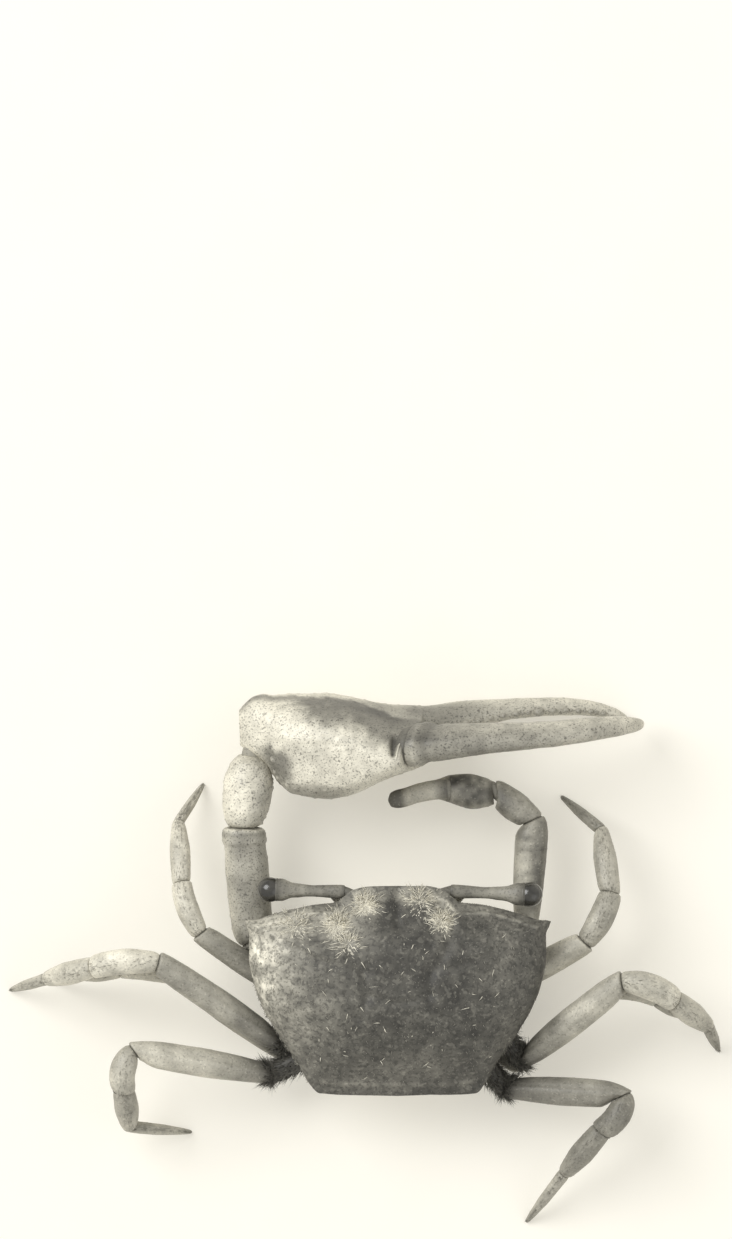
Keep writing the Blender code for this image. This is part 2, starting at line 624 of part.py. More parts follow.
def antenna(side, name):
    """A short feeler that runs outwards beneath the eyestalk."""
    points = ((5.0, 1.35, 7.9), (5.9, 0.6, 7.9), (7.6, 0.4, 7.8), (9.4, 0.45, 7.6))
    stations = (0.0, 0.3, 0.65, 1.0)
    axes = [curve(stations, [point[i] for point in points]) for i in range(3)]
    rings = []
    for t in np.linspace(0.0, 1.0, 9):
        centre = np.array([axis(t) for axis in axes])
        way = unit([axis(min(t + 0.02, 1.0)) - axis(max(t - 0.02, 0.0)) for axis in axes])
        across = unit(np.cross(UP, way))
        size = 0.32 - 0.14 * t
        rings.append(section(centre, across, np.cross(way, across), size, size, 8, 2.0))
    loft(name, rings, STALK_COLOUR, side)


for old in list(bpy.data.objects):
    bpy.data.objects.remove(old)
CRAB = bpy.data.collections.new("fiddler_crab")
bpy.context.scene.collection.children.link(CRAB)
SHELL_COLOUR = (0.105, 0.095, 0.08)
BELLY_COLOUR = (0.42, 0.39, 0.34)
CLAW_COLOUR = (0.45, 0.42, 0.37)
LEG_COLOUR = (0.27, 0.25, 0.22)
STALK_COLOUR = (0.2, 0.18, 0.16)
EYE_COLOUR = (0.02, 0.02, 0.02)

EDGE = carapace_edge()
carapace(EDGE)
thorax(EDGE)
abdomen()
for label, sign in (("l", 1), ("r", -1)):
    maxilliped(sign, f"maxilliped_{label}")
    antenna(sign, f"antenna_{label}")
    eye(label, sign)
great_claw()
small_claw()
for label, values in LEGS.items():
    walking_leg(label, *values)
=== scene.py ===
# %% [markdown]
# # A fiddler crab, seen from straight above
# The crab is a shell in many stiff pieces: a domed carapace, a pale thorax under it, two claws of
# very unequal size, two eyes on long stalks and eight walking legs. Every piece is a surface that
# numpy works out from a few named sizes, and the same sizes made the solids that carry them.

# %% Load the solids that the surfaces stand on
import math

import bpy
import numpy as np
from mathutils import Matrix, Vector


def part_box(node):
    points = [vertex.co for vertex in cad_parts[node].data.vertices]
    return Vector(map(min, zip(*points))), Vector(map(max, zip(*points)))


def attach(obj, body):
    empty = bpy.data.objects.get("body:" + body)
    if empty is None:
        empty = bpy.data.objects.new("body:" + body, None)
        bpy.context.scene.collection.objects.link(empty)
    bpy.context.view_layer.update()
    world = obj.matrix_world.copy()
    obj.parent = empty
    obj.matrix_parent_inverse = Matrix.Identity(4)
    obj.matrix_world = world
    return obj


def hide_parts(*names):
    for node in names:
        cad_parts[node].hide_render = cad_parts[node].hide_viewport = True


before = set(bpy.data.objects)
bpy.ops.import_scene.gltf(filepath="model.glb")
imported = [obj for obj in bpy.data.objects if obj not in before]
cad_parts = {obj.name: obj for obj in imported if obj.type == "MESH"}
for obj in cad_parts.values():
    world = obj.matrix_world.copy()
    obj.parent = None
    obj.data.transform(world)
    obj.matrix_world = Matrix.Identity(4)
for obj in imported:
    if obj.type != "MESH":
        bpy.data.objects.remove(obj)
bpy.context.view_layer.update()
print("solids in the frame:", len(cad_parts))

# %% [markdown]
# ## Where things are
# Sizes are in millimetres. Places are measured from the middle of the carapace's front edge, at
# floor level: x to the crab's left, y to its rear, z up. The carapace's own box tells where that
# point lies in the frame, so nothing has to be fitted by eye.

# %% Units and the crab's own origin
MM = 0.001
UP = np.array((0.0, 0.0, 1.0))
GAP = 0.3
shell_low, shell_high = (np.array(corner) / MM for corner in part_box("carapace"))
BODY_AT = np.array(((shell_low[0] + shell_high[0]) / 2.0, shell_low[1], 0.0))
print("front of the carapace at", BODY_AT.round(3), "mm")

# %% [markdown]
# ## Curves and rounded outlines
# A living shape rarely needs more than a handful of widths. The curve below runs smoothly through
# them and never overshoots, so a limb has no bulge that nobody asked for. A superellipse is the
# outline of a limb cut across: power 2 is an ellipse, and a larger power is boxier.

# %% Smooth curves and rounded sections
def unit(vectors):
    """Each vector divided by its own length."""
    vectors = np.asarray(vectors, float)
    return vectors / np.linalg.norm(vectors, axis=-1, keepdims=True)


def curve(stations, values):
    """A cubic between each two stations, its slope there the harmonic mean of both sides."""
    x = np.array(stations, float)
    y = np.array(values, float)
    step = np.diff(x)
    slope = np.diff(y) / step
    product = slope[:-1] * slope[1:]
    total = slope[:-1] + slope[1:]
    inner = np.where(product > 0.0, 2.0 * product / np.where(product > 0.0, total, 1.0), 0.0)
    tangent = np.concatenate((slope[:1], inner, slope[-1:]))

    def at(t):
        t = np.asarray(t, float)
        i = np.clip(np.searchsorted(x, t) - 1, 0, len(step) - 1)
        s = (t - x[i]) / step[i]
        return ((1.0 + 2.0 * s) * (1.0 - s) ** 2 * y[i] + s * (1.0 - s) ** 2 * tangent[i] * step[i]
                + s * s * (3.0 - 2.0 * s) * y[i + 1] + s * s * (s - 1.0) * tangent[i + 1] * step[i])

    return at


def superellipse(angle, power):
    """Unit outline: cosine and sine, each raised to 2 / power with its sign kept."""
    cosine, sine = np.cos(angle), np.sin(angle)
    return (np.sign(cosine) * np.abs(cosine) ** (2.0 / power),
            np.sign(sine) * np.abs(sine) ** (2.0 / power))


def around(sides):
    """Angles of a closed ring, starting at zero."""
    return np.arange(sides) * math.tau / sides


def sections(centres, across, lift, half_wide, half_deep, sides, power=2.2):
    """Rings of a limb: centre + width * across + depth * lift, one row for each centre."""
    rows = len(centres)
    power = np.broadcast_to(power, rows)[:, None]
    wide, deep = superellipse(around(sides)[None, :], power)
    wide = wide * np.broadcast_to(half_wide, rows)[:, None]
    deep = deep * np.broadcast_to(half_deep, rows)[:, None]
    return (centres[:, None, :] + wide[..., None] * across[:, None, :]
            + deep[..., None] * lift[:, None, :])


print("a curve through 0, 1, 0 at its middle:", float(curve((0, 1, 2), (0, 1, 0))(1.0)))

# %% [markdown]
# ## Noise and grains
# Shell is never clean: it is mottled, pitted and set with grains. Both patterns come from random
# numbers tied to the corners of a lattice, so the same point in space always gets the same value
# and every run gives the same crab.

# %% Lattice noise
def lattice_random(cells, seed):
    """A number from 0 to 1 for each lattice cell: its three indices mixed by large primes."""
    x, y, z = (cells[..., i].astype(np.uint64) for i in range(3))
    mixed = x * np.uint64(73856093) ^ y * np.uint64(19349663) ^ z * np.uint64(83492791)
    mixed = (mixed ^ np.uint64(seed * 2654435761)) * np.uint64(2246822519)
    mixed ^= mixed >> np.uint64(15)
    mixed *= np.uint64(3266489917)
    mixed ^= mixed >> np.uint64(13)
    return (mixed & np.uint64(0xFFFFFF)).astype(float) / 0xFFFFFF


CORNERS = np.array([(i, j, k) for i in (0, 1) for j in (0, 1) for k in (0, 1)])
LATTICE_SHIFT = 4096


def noise(points, size, seed):
    """Values from -1 to 1: the eight lattice corners blended with weights 3t^2 - 2t^3."""
    place = points / size + LATTICE_SHIFT
    cell = np.floor(place).astype(np.int64)
    t = place - cell
    t = t * t * (3.0 - 2.0 * t)
    total = 0.0
    for corner in CORNERS:
        weight = np.prod(np.where(corner == 1, t, 1.0 - t), axis=-1)
        total = total + weight * lattice_random(cell + corner, seed)
    return 2.0 * total - 1.0


def grains(points, size, seed, radius=0.45, share=1.0):
    """Round bumps from 0 to 1: the nearest of one random point in each lattice cell."""
    place = points / size + LATTICE_SHIFT
    cell = np.floor(place).astype(np.int64)
    best = np.zeros(points.shape[:-1])
    for corner in np.ndindex(3, 3, 3):
        near = cell + np.array(corner) - 1
        spot = np.stack([lattice_random(near, seed + i) for i in range(3)], axis=-1)
        distance = np.linalg.norm(place - near - spot, axis=-1)
        grown = lattice_random(near, seed + 3)
        bump = np.clip(1.0 - (distance / (radius * (0.6 + 0.4 * grown))) ** 2, 0.0, 1.0)
        best = np.maximum(best, np.where(grown <= share, bump, 0.0))
    return best


print("noise at one point:", noise(np.array([[1.0, 2.0, 3.0]]), 0.7, 5).round(3))

# %% [markdown]
# ## From a grid to a mesh
# Each surface is a grid: rows along the piece, columns round it. Relief is added along the
# surface's own normals. A step round and a step along give each normal, and the volume that the
# grid encloses gives its sign, so that a mirrored grid still points outwards.

# %% Normals and relief
def volume_sign(grid):
    """+1 where the grid's faces point outwards: the sign of the sum of its cone volumes."""
    a, b = grid[:-1], np.roll(grid, -1, axis=1)[:-1]
    c = np.roll(grid, -1, axis=1)[1:]
    d = grid[1:]
    middle = grid.mean(axis=(0, 1))
    cones = np.einsum("ijk,ijk->ij", a - middle, np.cross(b - middle, c - middle))
    cones += np.einsum("ijk,ijk->ij", a - middle, np.cross(c - middle, d - middle))
    return 1.0 if cones.sum() > 0.0 else -1.0


def normals(grid):
    """Unit normals: the cross product of the steps round and along, turned outwards."""
    round_step = np.roll(grid, -1, axis=1) - np.roll(grid, 1, axis=1)
    along_step = np.gradient(grid, axis=0)
    cross = np.cross(round_step, along_step)
    length = np.maximum(np.linalg.norm(cross, axis=-1, keepdims=True), 1e-9)
    return volume_sign(grid) * cross / length


def relief(grid, height):
    """The grid moved along its normals by a height for each point."""
    return grid + normals(grid) * height[..., None]


tube_of_three = np.stack([np.stack((np.cos(around(8)), np.sin(around(8)), np.full(8, z)), axis=-1)
                          for z in (0.0, 1.0, 2.0)])
print("first normal of a round tube:", normals(tube_of_three)[0, 0].round(3))

# %% [markdown]
# A mesh closes both ends of its grid with a fan and stores a tone for each vertex, from 0 (dark)
# to 1 (pale), which the finishes read as an attribute. Every piece is still, so each rides on the
# one body there is, and nothing reaches below the floor.

# %% From a grid to a piece
def place_mesh(name, points, faces, finish, replaced=(), tone=None):
    """Make a piece from points in millimetres and say what it rides on and stands for."""
    mesh = bpy.data.meshes.new(name)
    above_floor = np.maximum(points, (-np.inf, -np.inf, 0.0))
    mesh.from_pydata((above_floor + BODY_AT) * MM, [], faces)
    mesh.shade_smooth()
    if tone is not None:
        values = mesh.attributes.new("tone", "FLOAT", "POINT")
        values.data.foreach_set("value", np.clip(tone, 0.0, 1.0).astype(np.float32))
    mesh.materials.append(finish)
    piece = bpy.data.objects.new(name, mesh)
    bpy.context.scene.collection.objects.link(piece)
    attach(piece, "root")
    if replaced:
        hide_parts(*replaced)
    return piece


def closed_grid(grid):
    """Points and faces: quads between neighbouring rings and a fan of triangles at each end."""
    rows, sides = grid.shape[:2]
    ends = (grid[0].mean(axis=0), grid[-1].mean(axis=0))
    points = np.concatenate((grid.reshape(-1, 3), ends))
    index = np.arange(rows * sides).reshape(rows, sides)
    after = np.roll(index, -1, axis=1)
    quads = np.stack((index[:-1], after[:-1], after[1:], index[1:]), axis=-1).reshape(-1, 4)
    first = np.stack((after[0], index[0], np.full(sides, rows * sides)), axis=-1)
    last = np.stack((index[-1], after[-1], np.full(sides, rows * sides + 1)), axis=-1)
    fans = np.concatenate((first, last))
    if volume_sign(grid) < 0.0:
        quads, fans = quads[:, ::-1], fans[:, ::-1]
    return points, quads, fans


def skin(name, grids, finish, tones=None, side=1, replaced=None):
    """One piece from one or more grids of rings; side -1 mirrors it to the crab's right."""
    if isinstance(grids, np.ndarray):
        grids, tones = [grids], [tones]
    points, faces, shades, count = [], [], [], 0
    for grid, tone in zip(grids, tones):
        spots, quads, fans = closed_grid(grid * np.array((side, 1.0, 1.0)))
        points.append(spots)
        faces += (quads + count).tolist() + (fans + count).tolist()
        count += len(spots)
        if tone is not None:
            tone = np.broadcast_to(tone, grid.shape[:2])
            shades.append(np.concatenate((tone.ravel(), [tone[0].mean(), tone[-1].mean()])))
    nodes = (name,) if replaced is None else replaced
    return place_mesh(name + "_skin", np.concatenate(points), faces, finish,
                      nodes, np.concatenate(shades) if shades else None)


print("points of the closed tube:", len(closed_grid(tube_of_three)[0]))

# %% [markdown]
# Markings and relief are sums and products of a few soft masks of place: a smooth step, a bell,
# and a band with soft edges.

# %% Soft masks
def ramped(value, low, high):
    """0 below low, 1 above high and a smooth step 3t^2 - 2t^3 between them."""
    t = np.clip((value - low) / (high - low), 0.0, 1.0)
    return t * t * (3.0 - 2.0 * t)


def bell(value, middle, width):
    """exp(-((value - middle) / width)^2)."""
    return np.exp(-((value - middle) / width) ** 2)


def between(value, low, high, soft):
    """1 from low to high, with smooth steps of twice soft at both ends."""
    return ramped(value, low - soft, low + soft) * (1.0 - ramped(value, high - soft, high + soft))


print("half way up a ramp:", float(ramped(np.array(0.5), 0.0, 1.0)))

# %% [markdown]
# ## Finishes as arithmetic
# A finish is a formula on textures. The small class below wraps a socket, so that +, - and *
# between sockets and numbers add Math nodes.

# %% A socket that does arithmetic
class Wire:
    """A value in a finish; arithmetic on it adds Math nodes."""

    def __init__(self, finish, socket):
        self.finish = finish
        self.socket = socket

    def math(self, operation, first, second):
        return self.finish.node("Math", {"operation": operation}, {0: first, 1: second})

    def __add__(self, other):
        return self.math("ADD", self, other)

    def __sub__(self, other):
        return self.math("SUBTRACT", self, other)

    def __rsub__(self, other):
        return self.math("SUBTRACT", other, self)

    def __mul__(self, other):
        return self.math("MULTIPLY", self, other)

    __radd__ = __add__
    __rmul__ = __mul__


print("a wire's sums and products are Math nodes")

# %% [markdown]
# A finish owns its material's nodes. One method adds any node by its type, its settings and its
# sockets, and the short ones after it name the few that crab shell needs.

# %% A material under construction
class Finish:
    """A material under construction, with one method for each node it needs."""

    def __init__(self, name):
        self.material = bpy.data.materials.new(name)
        self.material.use_nodes = True
        self.tree = self.material.node_tree
        self.shader = self.tree.nodes["Principled BSDF"]
        self.place = self.node("TexCoord", output="Object")

    def feed(self, socket, value):
        """Link a wire to a socket, or set the socket's own value."""
        if isinstance(value, Wire):
            self.tree.links.new(value.socket, socket)
        else:
            socket.default_value = value

    def node(self, kind, settings=None, inputs=None, output=0):
        """Add a node: its settings first, then the values or links of its sockets."""
        node = self.tree.nodes.new("ShaderNode" + kind)
        for key, value in (settings or {}).items():
            if key == "stops":
                self.set_stops(node.color_ramp, value)
            else:
                setattr(node, key, value)
        for key, value in (inputs or {}).items():
            self.feed(node.inputs[key], value)
        return Wire(self, node.outputs[output])

    @staticmethod
    def set_stops(ramp, stops):
        """Give a ramp its stops: (position, colour) pairs."""
        for i, (position, colour) in enumerate(stops):
            element = ramp.elements[i] if i < 2 else ramp.elements.new(position)
            element.position = position
            element.color = (*colour, 1.0)

    def noise(self, size, detail=3.0):
        """Noise in blobs about one size across, in millimetres, from 0 to 1."""
        inputs = {"Vector": self.place, "Scale": 1.0 / (size * MM), "Detail": detail}
        return self.node("TexNoise", inputs=inputs)

    def spots(self, size, start):
        """1 where noise of a size rises well above a start, 0 elsewhere: small sharp spots."""
        stops = ((start, (0.0, 0.0, 0.0)), (start + 0.07, (1.0, 1.0, 1.0)))
        return self.ramp(self.noise(size, 1.0), stops)

    def tone(self):
        """The tone stored at each vertex."""
        return self.node("Attribute", {"attribute_name": "tone"}, output="Fac")

    def ramp(self, factor, stops):
        """A colour that runs through the stops as the factor goes from 0 to 1."""
        return self.node("ValToRGB", {"stops": stops}, {"Fac": factor})

    def bump(self, height, depth):
        """Feed a height to the shader's normal; depth is the relief in millimetres."""
        wire = self.node("Bump", inputs={"Height": height, "Distance": depth * MM, "Strength": 1.0})
        self.feed(self.shader.inputs["Normal"], wire)

    def look(self, **values):
        """Set the shader's sockets: names with _ for spaces."""
        for key, value in values.items():
            self.feed(self.shader.inputs[key.replace("_", " ").title()], value)
        return self.material


print("the finish class is ready")

# %% [markdown]
# ## The finishes
# Each vertex stores how much light its shell gives back, and the finish breaks that up: broad
# clouds and fine mottling multiply it, dark specks are taken from pale shell and pale flecks are
# added to dark shell. Bare shell is slightly glossy. Its bump is only a few hundredths of a
# millimetre deep, because the grains that can be seen are in the mesh.

# %% Shell finishes
WARMTH = 0.16
CLOUD_SIZE = 1.3
MOTTLE_SIZE = 0.2
SHELL_BUMP = 0.012


def grey(value):
    """A warm grey: red lies a little above the green and blue below it."""
    return (value * (1.0 + 0.3 * WARMTH), value, value * (1.0 - WARMTH))


def shell_finish(name, specks, flecks, roughness, clouds=0.5):
    """Tone times clouds and mottling, minus dark specks, plus pale flecks, as a warm grey."""
    finish = Finish(name)
    cloud = finish.noise(CLOUD_SIZE, 4.0)
    fine = finish.noise(MOTTLE_SIZE)
    level = finish.tone() * (cloud * clouds + fine * 0.5 + (0.75 - 0.5 * clouds))
    for size, start, strength in specks:
        level = level - level * finish.spots(size, start) * strength
    for size, start, strength in flecks:
        level = level + finish.spots(size, start) * strength
    colour = finish.ramp(level, ((0.0, grey(0.02)), (1.0, grey(0.9))))
    finish.bump(fine, SHELL_BUMP)
    return finish.look(base_color=colour, roughness=fine * 0.2 + (roughness - 0.1))


CARAPACE_FINISH = shell_finish("carapace_shell", ((0.3, 0.54, 0.45), (0.9, 0.55, 0.3)),
                               ((0.16, 0.66, 0.1), (0.5, 0.6, 0.06)), 0.55, clouds=1.3)
CLAW_FINISH = shell_finish("claw_shell", ((0.15, 0.58, 0.45), (0.3, 0.62, 0.4)), (), 0.45)
LEG_FINISH = shell_finish("leg_shell", ((0.18, 0.6, 0.3),), ((0.2, 0.66, 0.1),), 0.5)
BELLY_FINISH = shell_finish("belly_shell", ((0.2, 0.62, 0.25),), (), 0.5)
STALK_FINISH = shell_finish("stalk_shell", ((0.2, 0.56, 0.4),), (), 0.45)
JOINT_FINISH = shell_finish("joint_membrane", ((0.25, 0.55, 0.3),), (), 0.6, clouds=0.3)


FACET = 0.09


def cornea_finish():
    """Nearly black and wet, with the faint net of facets that a crab's eye has."""
    finish = Finish("cornea")
    inputs = {"Vector": finish.place, "Scale": 1.0 / (FACET * MM)}
    facets = finish.node("TexVoronoi", {"feature": "DISTANCE_TO_EDGE"}, inputs, "Distance")
    finish.bump(facets, 0.01)
    stops = ((0.3, grey(0.02)), (0.7, grey(0.05)))
    return finish.look(base_color=finish.ramp(finish.noise(0.6), stops), roughness=0.14,
                       coat_weight=0.5)


def hair_finish(name, dark, pale):
    """Matt bristle, each one a little different from the next."""
    finish = Finish(name)
    stops = ((0.3, grey(dark)), (0.7, grey(pale)))
    return finish.look(base_color=finish.ramp(finish.noise(0.3), stops), roughness=0.7)


CORNEA_FINISH = cornea_finish()
DARK_HAIR = hair_finish("dark_bristle", 0.05, 0.2)
PALE_HAIR = hair_finish("pale_bristle", 0.55, 0.95)
LEG_HAIR = hair_finish("leg_bristle", 0.12, 0.4)
print("finishes:", len(bpy.data.materials))

# %% [markdown]
# ## Bristles
# Crabs are hairy where mud would otherwise get in: round the bases of the legs, along the legs'
# edges and in small velvet patches on the carapace. Each bristle is a bent three-sided spike, and
# thousands of them share one mesh. Its patch of the OFBake map lies where its root stands on the
# unwrapped grid of the skin, so that baked colour stays with the bristle.

# %% A mesh of bristles
BAKE_PATCH = 0.0015
SPIKE_QUADS = np.array(((0, 1, 4, 3), (1, 2, 5, 4), (2, 0, 3, 5)))
SPIKE_TRIANGLES = np.array(((3, 4, 6), (4, 5, 6), (5, 3, 6), (2, 1, 0)))
SPIKE_SPREAD = np.array(((-1, -1), (0, -1), (1, -1), (-1, 0), (0, 0), (1, 0), (0, 1)))


def spikes(roots, ways, bends, lengths, width):
    """Seven points each: rings of three at the sunk root and half way, and a tip past the bend."""
    ways = unit(ways)
    across = unit(np.cross(ways, unit(ways[:, [1, 2, 0]] + 0.3)))
    lift = np.cross(ways, across)
    angle = around(3)[None, :, None]
    ring = np.cos(angle) * across[:, None] + np.sin(angle) * lift[:, None]
    length = lengths[:, None]
    low = roots - 0.15 * length * ways
    half = roots + 0.5 * length * ways + 0.25 * length * bends
    tip = roots + length * ways + length * bends
    return np.concatenate((low[:, None] + ring * width / 2.0, half[:, None] + ring * width / 3.0,
                           tip[:, None]), axis=1)


def bristles(name, coats, width, finish, side=1):
    """One mesh from several coats: (roots, ways, bends, lengths, places on the bake map)."""
    points = np.concatenate([spikes(*coat[:4], width) for coat in coats])
    points = points * np.array((side, 1.0, 1.0))
    places = np.concatenate([coat[4] for coat in coats])
    first = len(SPIKE_SPREAD) * np.arange(len(points))[:, None, None]
    quads = (SPIKE_QUADS + first).reshape(-1, 4)
    triangles = (SPIKE_TRIANGLES + first).reshape(-1, 3)
    if side < 0:
        quads, triangles = quads[:, ::-1], triangles[:, ::-1]
    piece = place_mesh(name, points.reshape(-1, 3), quads.tolist() + triangles.tolist(), finish)
    corners = np.concatenate((quads.ravel(), triangles.ravel()))
    flat = (places[:, None] + SPIKE_SPREAD * BAKE_PATCH).reshape(-1, 2)
    layer = piece.data.uv_layers.new(name="OFBake")
    layer.data.foreach_set("uv", flat[corners].astype(np.float32).ravel())
    return piece


def coat_on(grid, rows, columns, lean, lengths, random, curl=0.3, tile=(0, 1)):
    """Bristles at the given rows and columns of a grid, leaning from its normal along the rows."""
    count = len(rows)
    normal = normals(grid)[rows, columns]
    along = unit(np.gradient(grid, axis=0)[rows, columns])
    jitter = random.normal(0.0, 0.25, (count, 3))
    ways = unit(normal + lean * along + jitter)
    bends = curl * (along + random.normal(0.0, 0.4, (count, 3)))
    share = np.stack(((columns / grid.shape[1] + tile[0]) / tile[1], rows / len(grid)), axis=-1)
    return grid[rows, columns], ways, bends, random.uniform(*lengths, count), share


print("points in a bristle:", len(SPIKE_SPREAD))

# %% [markdown]
# ## Floor, light and camera
# The crab lies on pale paper under a soft light from its upper left. The camera hangs far above
# the paper with a long lens, so that its legs aren't drawn larger or smaller by their height. The
# picture keeps plain contrast, because it stands beside a print that has only ink and paper.

# %% The paper floor
FLOOR_HALF = 1.5
PAPER_GLOW = (1.0, 0.965, 0.87, 1.0)


def paper_finish():
    """Cream paper, barely mottled, lit a little from behind so that shadows on it stay faint."""
    finish = Finish("paper")
    stops = ((0.2, (0.63, 0.61, 0.55)), (0.8, (0.65, 0.63, 0.57)))
    colour = finish.ramp(finish.noise(9.0), stops)
    return finish.look(base_color=colour, roughness=0.9, emission_color=PAPER_GLOW,
                       emission_strength=0.34)


def make_floor(half):
    """A square sheet at floor level."""
    mesh = bpy.data.meshes.new("floor")
    corners = [(-half, -half, 0.0), (half, -half, 0.0), (half, half, 0.0), (-half, half, 0.0)]
    mesh.from_pydata(corners, [], [(0, 1, 2, 3)])
    mesh.materials.append(paper_finish())
    floor = bpy.data.objects.new("floor", mesh)
    bpy.context.scene.collection.objects.link(floor)


make_floor(FLOOR_HALF)
print("floor half width:", FLOOR_HALF, "m")

# %% [markdown]
# The camera's place comes from the picture's own scale: the height stays fixed, and the lens is as
# long as the picture's height in millimetres asks. The lamps stand at places in metres and aim at
# the origin.

# %% Lights and camera
PHOTO_PIXEL = 0.085
PHOTO_SIZE = (732.0, 1239.0)
PHOTO_FRONT = (397.5, 885.0)
FOCUS_HEIGHT = 6.0
CAMERA_HEIGHT = 1500.0
LAMPS = {"key": ((0.5, -0.36, 0.67), 0.55, 5.0), "fill": ((-0.5, 0.3, 0.6), 0.6, 0.6)}


def make_lamp(name, place, size, power):
    """A square soft box of a size and power, turned to the origin."""
    lamp = bpy.data.lights.new(name, "AREA")
    lamp.size = size
    lamp.energy = power
    thing = bpy.data.objects.new(name, lamp)
    thing.location = place
    thing.rotation_euler = (-Vector(place)).to_track_quat("-Z", "Y").to_euler()
    bpy.context.scene.collection.objects.link(thing)


def make_camera():
    """Straight down on the picture's centre, the picture's top towards the crab's front."""
    lens = bpy.data.cameras.new("camera")
    lens.sensor_fit = "VERTICAL"
    lens.sensor_height = 24.0
    tall = PHOTO_SIZE[1] * PHOTO_PIXEL
    lens.lens = lens.sensor_height * (CAMERA_HEIGHT - FOCUS_HEIGHT) / tall
    lens.clip_end = 10.0
    camera = bpy.data.objects.new("camera", lens)
    middle = np.array(((PHOTO_FRONT[0] - PHOTO_SIZE[0] / 2.0) * PHOTO_PIXEL,
                       (PHOTO_SIZE[1] / 2.0 - PHOTO_FRONT[1]) * PHOTO_PIXEL, CAMERA_HEIGHT))
    camera.location = (middle + BODY_AT) * MM
    camera.rotation_euler = (0.0, 0.0, math.pi)
    bpy.context.scene.collection.objects.link(camera)
    bpy.context.scene.camera = camera


def make_sky(brightness):
    """An even, slightly warm light from all round."""
    world = bpy.data.worlds.new("sky")
    world.use_nodes = True
    background = world.node_tree.nodes["Background"]
    background.inputs["Color"].default_value = (1.0, 0.99, 0.96, 1.0)
    background.inputs["Strength"].default_value = brightness
    bpy.context.scene.world = world


make_sky(0.7)
for lamp_name, lamp_values in LAMPS.items():
    make_lamp(lamp_name, *lamp_values)
make_camera()
bpy.context.scene.view_settings.view_transform = "Standard"
print("camera height:", CAMERA_HEIGHT, "mm")

# %% [markdown]
# ## The carapace
# Seen from above the carapace is a trapezium with a broad lobe between the eyes, two hollows for
# the eyestalks and a sharp tooth at each front corner. The dome is drawn in rings, each a smaller
# copy of the edge: the rise from edge to ridge is (1 - share^3)^0.6, steep at the rim and flat on
# top. Grooves mark off the stomach, the heart and the gills, and low grains cover the flanks.

# %% The carapace's edge and dome
CARAPACE_EDGE = (
    (0.0, 0.0), (2.4, 0.05), (3.7, 0.3), (4.5, 0.85), (5.2, 1.35), (7.3, 1.65), (10.1, 2.3),
    (11.9, 2.85), (13.05, 3.0), (12.6, 4.2), (12.6, 6.0), (12.15, 8.4), (11.5, 10.2), (10.5, 12.0),
    (9.5, 13.5), (8.3, 15.3), (7.4, 16.9), (6.6, 17.65), (3.4, 17.8), (0.0, 17.85))
CARAPACE_MIDDLE = 8.6
RIM = 0.4
UNDER_MIDDLE = 8.2
UNDER_SHARES = (0.2, 0.5, 0.8, 0.93)
RIM_RINGS = ((0.985, 1.0), (0.998, 0.6))


def carapace_edge(half_count):
    """The edge as a smooth closed line: x and y are curves of the distance walked along it."""
    corners = np.array(CARAPACE_EDGE)
    walked = np.concatenate(([0.0], np.cumsum(np.linalg.norm(np.diff(corners, axis=0), axis=1))))
    stations = np.linspace(0.0, walked[-1], half_count + 1)
    half = np.stack([curve(walked, corners[:, i])(stations) for i in (0, 1)], axis=-1)
    return np.concatenate((half, half[-2:0:-1] * np.array((-1.0, 1.0))))


EDGE_HEIGHT = curve((0.0, 3.0, 8.0, 13.0, 17.85), (10.3, 9.9, 9.3, 8.4, 7.5))
RIDGE_HEIGHT = curve((0.0, 2.0, 6.0, 10.0, 14.0, 17.85), (10.3, 11.7, 12.9, 12.85, 11.5, 7.9))


def body_ring(edge, share, height):
    """A copy of the edge at a share of its distance from the middle, at a height for each point."""
    y = CARAPACE_MIDDLE + (edge[:, 1] - CARAPACE_MIDDLE) * share
    return np.stack((edge[:, 0] * share, y, np.broadcast_to(height, len(edge))), axis=-1)


def dome_height(edge, share):
    """Edge height plus the ridge's rise over it times (1 - share^3)^0.6."""
    y = CARAPACE_MIDDLE + (edge[:, 1] - CARAPACE_MIDDLE) * share
    edge_z = EDGE_HEIGHT(edge[:, 1])
    return edge_z + (1.0 - share ** 3) ** 0.6 * (RIDGE_HEIGHT(y) - edge_z)


def under_height(edge, share):
    """The carapace's lower face, which runs straight from the edge to its middle."""
    return EDGE_HEIGHT(edge[:, 1]) * share + UNDER_MIDDLE * (1.0 - share) - RIM


def carapace_grid(sides, rows):
    """Rings of the lower face, the rim and then the dome up to its middle."""
    edge = carapace_edge(sides // 2)
    rings = [body_ring(edge, share, under_height(edge, share)) for share in UNDER_SHARES]
    for share, drop in RIM_RINGS:
        rings.append(body_ring(edge, share, EDGE_HEIGHT(edge[:, 1]) - drop * RIM))
    for share in 1.0 - np.linspace(0.0, 0.985, rows) ** 1.5:
        rings.append(body_ring(edge, share, dome_height(edge, share)))
    return np.array(rings)


shell = carapace_grid(520, 170)
print("carapace points:", shell.shape[0] * shell.shape[1])

# %% [markdown]
# Grooves are smooth lines on the plan: the nearer a point lies to one, the deeper it sinks, as a
# bell. Two fine ridges follow the eyes' hollows and the rear edge in the same way.

